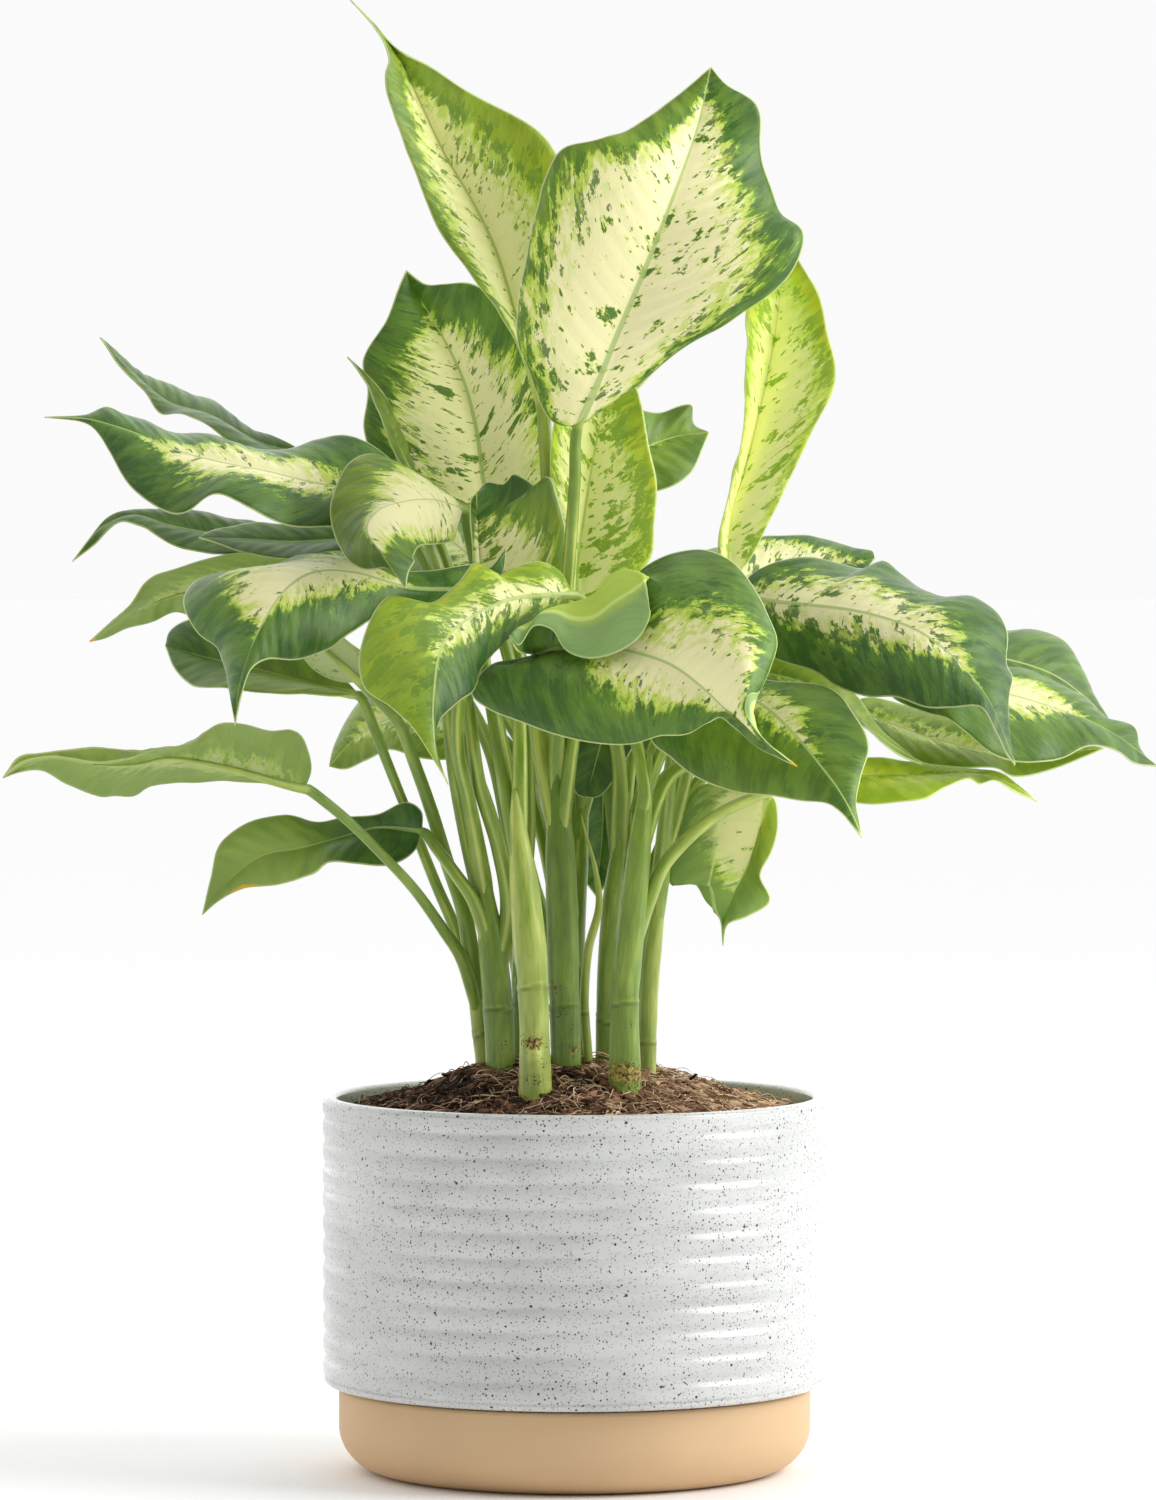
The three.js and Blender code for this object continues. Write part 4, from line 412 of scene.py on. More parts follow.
# ---- The canes ----------------------------------------------------------------------------------
#
# path: the axis of a cane from the soil up, as x,z,y points;  radius: its radius at even steps of it
# rings: the heights of its rings, the main one first;  age: 0 for pale green, 1 for olive
# scars, bud: corky scars and a bud on its front, as x,z,size

CANES = {
    "cane_left_outer": dict(
        path="-32,146,6 -34,160,6 -35.5,172,6 -37,184,6",
        radius="3.2 3.5 3.8 3", rings="155", age=.35),
    "cane_left": dict(
        path="-26.5,146,-6 -27.5,166,-6 -30,190,-6 -33.5,219,-7",
        radius="5.2 5.4 5 3", rings="164", age=.7, scars="-25,151,2.8 -28,176,1.6"),
    "cane_front_left": dict(
        path="-14,135,-38 -15,174,-38 -17,200,-37 -19.5,224,-36 -21.5,243,-35",
        radius="6 5.2 5.8 5 3", rings="174 143", age=.42,
        scars="-15,152.3,4.6 -17.5,139,2.6 -12,139,2.6 -11,145,2.4", bud="-14.3,147.5,2.1"),
    "cane_centre": dict(
        path="-3,144,-8 -4,180,-8 -5,210,-8 -6,240,-8 -7,258,-8",
        radius="5.3 5.6 5.6 5 3", rings="165 152", age=.85,
        scars="-7,172,3 -5,163,2.6 0,150,3.4 -5,179,1.6 -1,158,2"),
    "cane_centre_back": dict(
        path="11,142,12 11.5,180,12 14,210,13 19,242,16",
        radius="3.6 3.4 3.4 2.6", rings="160", age=.6),
    "cane_front_right": dict(
        path="18,136,-32 18,168,-32 21,200,-32 24,230,-32 27,256,-32",
        radius="6 5 4.7 4.1 2.8", rings="168", age=.68, scars="20.5,141,6.6 15,142,4 20,159,1.8"),
    "cane_right": dict(
        path="26,146,-6 27,175,-6 29,195,-6 32,221,-7",
        radius="3.2 3 3 2.6", rings="152", age=.45),
    "cane_right_rear": dict(
        path="22,146,8 24,180,9 30,215,9 35,240,8",
        radius="3.4 3.2 3 2.4", rings="158", age=.55),
    "young_shoot": dict(
        path="5,142,0 3.5,168,0 5,186,0 8.7,201,0 7.7,213,0 4.3,226,0 2.3,234,0",
        radius="1.7 1.7 1.6 1.5 1.1 0.6", rings="162", age=.3),
    "cane_rear": dict(
        path="0,145,36 -1,180,38 1,220,41 4,252,42",
        radius="5 4.8 4.4 3.2", rings="164", age=.7, scars="2,170,2"),
    "cane_rear_right": dict(
        path="15,145,30 17,190,30 20,235,28",
        radius="4.4 4 3", rings="161", age=.6),
    "cane_rear_left": dict(
        path="-19,146,20 -18,190,21 -17,238,21",
        radius="4.4 4 3", rings="166", age=.7),
}

# ---- Sizes and colours that a user may change ---------------------------------------------------


def colour(name, description, value):
    """A colour property. `value` is the colour as a screen shows it, from 0 to 1."""
    return bpy.props.FloatVectorProperty(
        name=name, description=description, subtype="COLOR_GAMMA", size=3, min=0, max=1, default=value)


def length(name, description, value):
    """A length property, in metres."""
    return bpy.props.FloatProperty(
        name=name, description=description, unit="LENGTH", subtype="DISTANCE", min=0, default=value)


def share(name, description, value):
    """A property from 0 to 1."""
    return bpy.props.FloatProperty(
        name=name, description=description, subtype="FACTOR", min=0, max=1, default=value)


class PotSettings(bpy.types.PropertyGroup):
    """Sizes and colours of the pot and its tray."""

    radius: length("Radius", "Outer radius on the crests of the ridges", float(POT_HIGH[0]))
    ridge_pitch: length("Ridge pitch", "Height of one ridge", 0.0086)
    ridge_depth: length("Ridge depth", "Depth of the grooves between ridges", 0.0011)
    rim_band: length("Rim band", "Height of the plain band over the highest groove", 0.0065)
    glaze: colour("Glaze", "Colour of the outer glaze", (0.825, 0.83, 0.822))
    speckle: colour("Speckle", "Colour of the specks in the glaze", (0.13, 0.14, 0.15))
    # the inner glaze is as white as the outer one: this grey-green is painted shade with a painted green
    # reflection of the leaves
    lining: colour("Lining", "Colour of the inner glaze", (0.71, 0.745, 0.685))
    tray: colour("Tray", "Colour of the tray", (0.85, 0.715, 0.545))


class SoilSettings(bpy.types.PropertyGroup):
    """How the soil is covered."""

    fibres: bpy.props.IntProperty(
        name="Fibres", description="Number of loose fibres on the soil", min=0, default=3400)
    crumbs: bpy.props.IntProperty(
        name="Crumbs", description="Number of bark crumbs on the soil", min=0, default=3800)
    dark: colour("Dark", "Darkest colour of the soil", (0.19, 0.125, 0.085))
    brown: colour("Brown", "Middle colour of the soil", (0.56, 0.40, 0.30))
    straw: colour("Straw", "Colour of the palest fibres", (0.96, 0.85, 0.71))


class PlantSettings(bpy.types.PropertyGroup):
    """Shapes and colours of the canes, stalks and leaves."""

    blade_thickness: length("Blade thickness", "Thickness of a leaf's blade", 0.0006)
    vein_pitch: length("Vein pitch", "Distance between two side veins along the midrib", 0.0066)
    vein_depth: length("Vein depth", "Depth of the grooves over the side veins", 0.00045)
    ripple: length("Ripple", "Height of the small waves along a margin", 0.0011)
    ragged: share("Raggedness", "How far the cream's edge strays into the green", 0.55)
    cream: colour("Cream", "Colour of the cream areas", (0.925, 0.902, 0.70))
    fringe: colour("Fringe", "Colour between cream and green", (0.70, 0.80, 0.24))
    green: colour("Green", "Colour of the green areas", (0.38, 0.56, 0.19))
    deep: colour("Deep green", "Colour of the darkest areas", (0.13, 0.31, 0.13))
    young: colour("Young green", "Colour of the green areas of a young leaf", (0.73, 0.765, 0.13))
    stem_pale: colour("Pale stem", "Colour of the palest parts of stalks", (0.76, 0.80, 0.40))
    stem_green: colour("Green stem", "Colour of most stalks", (0.50, 0.61, 0.22))
    stem_olive: colour("Olive stem", "Colour of old canes", (0.33, 0.44, 0.16))


class StageSettings(bpy.types.PropertyGroup):
    """Floor, light and camera."""

    floor: colour("Floor", "Colour of the floor", (0.99, 0.99, 0.99))
    key: bpy.props.FloatProperty(
        name="Key light", description="Power of the soft light at the right", unit="POWER", min=0,
        default=20.5)
    fill: bpy.props.FloatProperty(
        name="Fill light", description="Power of the soft light at the left", unit="POWER", min=0,
        default=1.0)
    sky: bpy.props.FloatProperty(
        name="Sky", description="Strength of the even light from all round", min=0, default=0.96)
    slope: share("Sky slope", "How much more light comes from the sky behind than from the front", 0.85)
    lens: bpy.props.FloatProperty(
        name="Lens", description="Focal length of the camera", unit="CAMERA", min=1, default=170.1)


# ---- Points, curves and meshes ------------------------------------------------------------------

CURVE_STEPS = 24  # points of a smooth curve for each stretch between two given ones
LATTICE_SIZE = 61  # random values along each side of a lattice, after which it repeats


def numbers(text):
    """The points in a table's text, one row each."""
    return np.array([[float(v) for v in word.split(",")] for word in text.split()])


def spread(text, place):
    """The values in a table's text at shares of the way along them, straight between two values."""
    values = numbers(text)[:, 0]
    return np.interp(place * (len(values) - 1), np.arange(len(values)), values)


def seen(x, z, y):
    """Points that the eye sees at x, z in the plane y = 0, put at depth y: their distance from the eye's
    own x and z grows as their distance from the eye does."""
    scale = (y - EYE[1]) / -EYE[1]
    return np.stack([EYE[0] + (x - EYE[0]) * scale, y + 0 * scale, EYE[2] + (z - EYE[2]) * scale], -1)


def unit(vectors):
    """Vectors along the last axis, each divided by its length."""
    return vectors / np.maximum(np.linalg.norm(vectors, axis=-1, keepdims=True), 1e-9)


def smooth_line(points, steps=CURVE_STEPS):
    """A smooth curve through points: between two of them it is the cubic whose end slopes are weighted by
    the square roots of the distances to the neighbours. Both ends are carried on straight."""
    ends = np.vstack([2 * points[0] - points[1], points, 2 * points[-1] - points[-2]])
    knot = np.sqrt(np.linalg.norm(np.diff(ends, axis=0), axis=1))[:, None]
    before, here, after = knot[:-2], knot[1:-1], knot[2:]
    p0, p1, p2, p3 = ends[:-3], ends[1:-2], ends[2:-1], ends[3:]
    slope_1 = ((p1 - p0) / before - (p2 - p0) / (before + here) + (p2 - p1) / here) * here
    slope_2 = ((p2 - p1) / here - (p3 - p1) / (here + after) + (p3 - p2) / after) * here
    t = np.linspace(0, 1, steps, endpoint=False)[None, :, None]
    curve = ((2 * t**3 - 3 * t**2 + 1) * p1[:, None] + (t**3 - 2 * t**2 + t) * slope_1[:, None]
             + (3 * t**2 - 2 * t**3) * p2[:, None] + (t**3 - t**2) * slope_2[:, None])
    return np.vstack([curve.reshape(-1, 3), points[-1]])


def reach(curve):
    """The distance along a curve to each of its points."""
    return np.r_[0, np.cumsum(np.linalg.norm(np.diff(curve, axis=0), axis=1))]


def at_share(curve, place):
    """The points at shares of a curve's length."""
    far = reach(curve)
    return np.stack([np.interp(place * far[-1], far, curve[:, k]) for k in range(3)], -1)


def heading(curve, place, step=0.01):
    """The direction of a curve at shares of its length."""
    low, high = np.clip(place - step, 0, 1), np.clip(place + step, 0, 1)
    return unit(at_share(curve, high) - at_share(curve, low))


def seen_line(points, depths):
    """The 3-D points of one of a leaf's lines, from the table's text."""
    flat = numbers(points)
    return seen(flat[:, 0], flat[:, 1], spread(depths, np.linspace(0, 1, len(flat))))


def lattice(x, y, cell, rng):
    """Smooth random heights from -1 to 1: random values at the corners of square cells, blended between
    the corners by 3t^2 - 2t^3 along both sides."""
    table = rng.uniform(-1, 1, (LATTICE_SIZE, LATTICE_SIZE))
    gx, gy = x / cell, y / cell
    ix, iy = np.floor(gx).astype(int), np.floor(gy).astype(int)
    fx, fy = gx - ix, gy - iy
    fx, fy = fx * fx * (3 - 2 * fx), fy * fy * (3 - 2 * fy)
    ix, iy, next_x, next_y = (i % LATTICE_SIZE for i in (ix, iy, ix + 1, iy + 1))
    low = table[ix, iy] * (1 - fx) + table[next_x, iy] * fx
    high = table[ix, next_y] * (1 - fx) + table[next_x, next_y] * fx
    return low * (1 - fy) + high * fy


def skin(rings, start=None, end=None):
    """A closed shell over rings of points, rows by points by 3: (points, quads, triangles). The ends are
    closed by fans to a middle point, which is the ring's centre unless one is given."""
    rows, around, _ = rings.shape
    start = rings[0].mean(0) if start is None else start
    end = rings[-1].mean(0) if end is None else end
    points = np.vstack([rings.reshape(-1, 3), start, end])
    here = np.arange(around)
    beside = np.roll(here, -1)
    low = np.arange(rows - 1)[:, None] * around
    quads = np.stack([low + here, low + beside, low + beside + around, low + here + around], -1)
    top = (rows - 1) * around
    fans = np.vstack([np.stack([beside, here, np.full(around, rows * around)], -1),
                      np.stack([top + here, top + beside, np.full(around, rows * around + 1)], -1)])
    return points, quads.reshape(-1, 4), fans


def ends_too(values):
    """Values of a shell's rings, rows by points, with those of its two end points added."""
    flat = values.reshape((-1,) + values.shape[2:])
    return np.concatenate([flat, values[0].mean(0, keepdims=True), values[-1].mean(0, keepdims=True)])


def make_piece(name, shells, materials, stands_for, smooth=True):
    """One object from shells: dicts of points (mm), quads, triangles, marks (values at the points, with one
    or three numbers each) and the number of the material. It takes the place of CAD nodes."""
    points = np.vstack([s["points"] for s in shells])
    offset = np.cumsum([0] + [len(s["points"]) for s in shells[:-1]])
    quads = [np.asarray(s["quads"], int).reshape(-1, 4) + o for s, o in zip(shells, offset)]
    tris = [np.asarray(s["triangles"], int).reshape(-1, 3) + o for s, o in zip(shells, offset)]
    corners = np.concatenate([f.ravel() for f in quads + tris])
    sides = np.repeat([4, 3], [sum(map(len, quads)), sum(map(len, tris))])
    mesh = bpy.data.meshes.new(name)
    mesh.vertices.add(len(points))
    mesh.vertices.foreach_set("co", (points * MM).astype(np.float32).ravel())
    mesh.loops.add(len(corners))
    mesh.loops.foreach_set("vertex_index", corners.astype(np.int32))
    mesh.polygons.add(len(sides))
    mesh.polygons.foreach_set("loop_start", np.r_[0, np.cumsum(sides)[:-1]].astype(np.int32))
    number = np.concatenate([np.full(len(f), s.get("material", 0))
                             for kind in (quads, tris) for f, s in zip(kind, shells)])
    mesh.polygons.foreach_set("material_index", number.astype(np.int32))
    mesh.polygons.foreach_set("use_smooth", np.full(len(sides), smooth))
    for mark in sorted({m for s in shells for m in s["marks"]}):
        example = next(s["marks"][mark] for s in shells if mark in s["marks"])
        wide = np.ndim(example) == 2
        blank = np.zeros(3 if wide else 1)
        values = np.vstack([
            np.reshape(s["marks"][mark], (len(s["points"]), -1)) if mark in s["marks"]
            else np.tile(blank, (len(s["points"]), 1)) for s in shells])
        layer = mesh.attributes.new(mark, "FLOAT_VECTOR" if wide else "FLOAT", "POINT")
        layer.data.foreach_set("vector" if wide else "value", values.astype(np.float32).ravel())
    mesh.update(calc_edges=True)
    if mesh.validate():
        raise RuntimeError(f"{name} has faces that its mesh can't keep")
    for material in materials:
        mesh.materials.append(material)
    piece = bpy.data.objects.new(name, mesh)
    bpy.context.scene.collection.objects.link(piece)
    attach(piece, "root")
    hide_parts(*stands_for)
    return piece


# ---- Materials ----------------------------------------------------------------------------------

# colours that no setting holds, as a screen shows them
RIB_COOL, RIB_WARM = (0.66, 0.74, 0.45), (0.72, 0.80, 0.38)  # the midrib of a blue-green, a yellow-green leaf
BACK_COOL, BACK_WARM = (0.51, 0.62, 0.40), (0.60, 0.68, 0.31)  # the underside of each
PALE_RIM = (0.84, 0.88, 0.60)
PALE_CLOUD = (0.62, 0.74, 0.3)
BURNT = (0.80, 0.66, 0.20)
RING_GREEN = (0.30, 0.36, 0.10)
SCAR_DOT = (0.20, 0.17, 0.08)
CORK_DARK, CORK_BROWN, CORK_PALE = (0.12, 0.08, 0.04), (0.46, 0.38, 0.17), (0.80, 0.74, 0.38)


def linear(shown):
    """A colour as a screen shows it, as the linear, opaque colour that shaders use."""
    c = np.asarray(shown, float)
    return (*np.where(c <= 0.04045, c / 12.92, ((c + 0.055) / 1.055) ** 2.4), 1.0)


def blend(first, second, share):
    """The first colour with a share of the second in it."""
    return (1 - share) * np.asarray(first) + share * np.asarray(second)


class Graph:
    """Adds shader nodes to a node tree. `node` returns the node that it adds, `set` gives a socket its link
    or its value, and every other method returns the output of the node that it adds."""

    def __init__(self, tree):
        self.tree = tree

    def node(self, kind, inputs=None, **settings):
        made = self.tree.nodes.new(kind)
        for key, value in settings.items():
            setattr(made, key, value)
        for key, value in (inputs or {}).items():
            self.set(made.inputs[key], value)
        return made

    def set(self, socket, value):
        if isinstance(value, bpy.types.NodeSocket):
            self.tree.links.new(value, socket)
        else:
            socket.default_value = value

    def math(self, operation, a, b=0.0, c=0.0, clamp=False):
        made = self.node("ShaderNodeMath", {0: a, 1: b, 2: c}, operation=operation, use_clamp=clamp)
        return made.outputs[0]

    def times(self, a, b):
        return self.math("MULTIPLY", a, b)

    def centred(self, value, width):
        """A value from 0 to 1 as one from -width / 2 to width / 2."""
        return self.math("MULTIPLY_ADD", value, width, -width / 2)

    def vector(self, operation, a, b=(0, 0, 0)):
        return self.node("ShaderNodeVectorMath", {0: a, 1: b}, operation=operation).outputs[0]

    def mix(self, factor, a, b):
        made = self.node("ShaderNodeMix", data_type="RGBA")
        for key, value in ((0, factor), (6, a), (7, b)):
            self.set(made.inputs[key], value)
        return made.outputs[2]

    def steps(self, value, low, high, to_low=0.0, to_high=1.0):
        """A smooth step from to_low to to_high as value goes from low to high."""
        inputs = {"Value": value, "From Min": low, "From Max": high, "To Min": to_low, "To Max": to_high}
        return self.node("ShaderNodeMapRange", inputs, interpolation_type="SMOOTHSTEP").outputs[0]

    def noise(self, vector, scale, detail=3.0, roughness=0.5):
        inputs = {"Vector": vector, "Scale": scale, "Detail": detail, "Roughness": roughness}
        return self.node("ShaderNodeTexNoise", inputs).outputs[0]

    def ramp(self, value, stops):
        made = self.node("ShaderNodeValToRGB", {0: value})
        elements = made.color_ramp.elements
        while len(elements) < len(stops):
            elements.new(0.5)
        for element, (place, shade) in zip(elements, stops):
            element.position, element.color = place, shade
        return made.outputs[0]

    def mark(self, name, output="Fac"):
        """A value that the mesh carries at its points."""
        return self.node("ShaderNodeAttribute", attribute_name=name).outputs[output]

    def group(self, tree, **inputs):
        made = self.node("ShaderNodeGroup", node_tree=tree)
        for key, value in inputs.items():
            self.set(made.inputs[key], value)
        return made.outputs[0]


def new_material(name, base, **constants):
    """A material with one Principled shader. `base` is its colour, and the constants go straight on its
    sockets. Returns the material, its graph and its shader."""
    material = bpy.data.materials.new(name)
    material.use_nodes = True
    graph = Graph(material.node_tree)
    shader = material.node_tree.nodes["Principled BSDF"]
    shader.inputs["Base Color"].default_value = base
    for key, value in constants.items():
        shader.inputs[key.replace("_", " ")].default_value = value
    return material, graph, shader


def relief(graph, shader, height, distance, strength):
    """Shades a surface as if it stood out by height times distance, in metres."""
    inputs = {"Height": height, "Distance": distance, "Strength": strength}
    graph.set(shader.inputs["Normal"], graph.node("ShaderNodeBump", inputs).outputs[0])


def speckle_group():
    """Round specks: space is split into cells, each round its own strewn point, and a speck is where the
    distance to that point is below Size, in the Share of cells whose random number is low enough."""
    tree = bpy.data.node_groups.get("specks")
    if tree:
        return tree
    tree = bpy.data.node_groups.new("specks", "ShaderNodeTree")
    tree.interface.new_socket("Mask", in_out="OUTPUT", socket_type="NodeSocketFloat")
    tree.interface.new_socket("Vector", in_out="INPUT", socket_type="NodeSocketVector")
    for name in ("Scale", "Size", "Share"):
        tree.interface.new_socket(name, in_out="INPUT", socket_type="NodeSocketFloat")
    graph = Graph(tree)
    given = graph.node("NodeGroupInput").outputs
    cells = graph.node("ShaderNodeTexVoronoi", {"Vector": given["Vector"], "Scale": given["Scale"]})
    random = graph.node("ShaderNodeSeparateColor", {0: cells.outputs["Color"]}).outputs
    kept = graph.math("LESS_THAN", random[0], given["Share"])
    size = graph.times(given["Size"], graph.math("MULTIPLY_ADD", random[1], 0.9, 0.35))
    edge = graph.math("SUBTRACT", size, cells.outputs["Distance"])
    inside = graph.steps(edge, -0.03, 0.03)
    result = graph.node("NodeGroupOutput")
    graph.set(result.inputs[0], graph.times(kept, inside))
    return tree


# cells per metre, size in cells, share of the cells and strength, from the finest specks to the largest
SPECK_SIZES = ((1350.0, 0.28, 0.55, 0.6), (820.0, 0.25, 0.62, 0.9), (450.0, 0.15, 0.5, 1.0),
               (240.0, 0.12, 0.5, 1.0))


def pot_material(settings):
    """White glaze with faint grey clouds and dark specks of several sizes, and a pale green inside that is
    painted shade with a painted green reflection of the leaves on the white glaze. The clouds are a little
    rougher than the rest."""
    material, graph, shader = new_material("speckled_glaze", linear(settings.glaze), Roughness=0.3,
                                           Coat_Weight=0.3, Coat_Roughness=0.12)
    place = graph.node("ShaderNodeTexCoord").outputs["Object"]
    cloud = graph.noise(graph.vector("MULTIPLY", place, (1.0, 1.0, 3.0)), 16.0, 4.0, 0.6)
    shade = graph.mix(graph.steps(cloud, 0.4, 0.66), linear(settings.glaze),
                      linear(np.array(settings.glaze) * 0.945))
    # inside the pot: painted shade and a painted green reflection of the leaves, over the white glaze
    shade = graph.mix(graph.mark("lining"), shade, linear(settings.lining))
    for scale, size, share, strength in SPECK_SIZES:
        specks = graph.group(speckle_group(), Vector=place, Scale=scale, Size=size, Share=share)
        shade = graph.mix(graph.times(specks, strength), shade, linear(settings.speckle))
    graph.set(shader.inputs["Base Color"], shade)
    graph.set(shader.inputs["Roughness"], graph.steps(cloud, 0.3, 0.7, 0.25, 0.36))
    relief(graph, shader, graph.noise(place, 300.0, 2.0), 0.00012, 0.5)
    return material


def tray_material(settings):
    """Matte sand-coloured stoneware with faint clouds."""
    material, graph, shader = new_material("sand_stoneware", linear(settings.tray), Roughness=0.62)
    place = graph.node("ShaderNodeTexCoord").outputs["Object"]
    cloud = graph.steps(graph.noise(place, 22.0, 4.0), 0.3, 0.7)
    graph.set(shader.inputs["Base Color"],
              graph.mix(cloud, linear(settings.tray), linear(np.array(settings.tray) * 0.975)))
    relief(graph, shader, graph.noise(place, 900.0, 3.0), 0.00006, 0.4)
    return material


def soil_material(settings):
    """Coir and bark: dark hollows and brown lumps for the bed, and the colour that each loose bit has from
    its `tint`, from dark through brown to straw."""
    material, graph, shader = new_material("potting_mix", linear(settings.brown), Roughness=0.9,
                                           Specular_IOR_Level=0.25)
    place = graph.node("ShaderNodeTexCoord").outputs["Object"]
    tint = graph.math("ADD", graph.mark("tint"), graph.centred(graph.noise(place, 420.0, 4.0, 0.7), 0.36))
    shade = graph.ramp(tint, [(0.0, linear(np.array(settings.dark) * 0.6)), (0.25, linear(settings.dark)),
                              (0.55, linear(settings.brown)), (1.0, linear(settings.straw))])
    graph.set(shader.inputs["Base Color"], shade)
    relief(graph, shader, graph.noise(place, 900.0, 4.0, 0.7), 0.0005, 0.8)
    return material


def stem_material(settings):
    """Stalks and canes: pale to olive green by `age`, with fine streaks along them, darker rings and dark
    specks. A `scar` has dark dots round it and, where it is strong, a crust of cork."""
    material, graph, shader = new_material("stem_green", linear(settings.stem_pale), Roughness=0.3)
    grain, scar = graph.mark("grain", "Vector"), graph.mark("scar")
    streaks = graph.noise(graph.vector("MULTIPLY", grain, (1.0, 1.0, 0.05)), 1.3, 3.0, 0.6)
    blotches = graph.noise(graph.vector("MULTIPLY", grain, (0.6, 0.6, 0.12)), 0.5, 2.0)
    age = graph.math("ADD", graph.mark("age"), graph.centred(streaks, 0.26))
    age = graph.math("ADD", age, graph.centred(blotches, 0.9), clamp=True)
    shade = graph.ramp(age, [(0.0, linear(settings.stem_pale)), (0.5, linear(settings.stem_green)),
                             (1.0, linear(settings.stem_olive))])
    specks = graph.group(speckle_group(), Vector=graph.vector("MULTIPLY", grain, (1.0, 1.0, 0.6)),
                         Scale=0.9, Size=0.16, Share=0.16)
    shade = graph.mix(graph.times(specks, 0.4), shade,
                      linear(np.array(settings.stem_olive) * 0.5))
    shade = graph.mix(graph.mark("ring"), shade, linear(RING_GREEN))
    dots = graph.group(speckle_group(), Vector=grain, Scale=1.0, Size=0.34, Share=0.7)
    dots = graph.times(dots, graph.steps(scar, 0.12, 0.3))
    shade = graph.mix(dots, shade, linear(SCAR_DOT))
    cork = graph.noise(grain, 1.1, 5.0, 0.75)
    corky = graph.steps(graph.math("ADD", scar, graph.centred(cork, 1.6)), 0.62, 0.7)
    crust = graph.ramp(graph.noise(grain, 0.7, 5.0, 0.75),
                       [(0.38, linear(CORK_DARK)), (0.46, linear(CORK_BROWN)), (0.58, linear(CORK_PALE))])
    shade = graph.mix(corky, shade, crust)
    graph.set(shader.inputs["Base Color"], shade)
    graph.set(shader.inputs["Roughness"], graph.math("MULTIPLY_ADD", corky, 0.45, 0.3))
    relief(graph, shader, graph.math("ADD", streaks, graph.times(cork, corky)), 0.0004, 0.6)
    return material


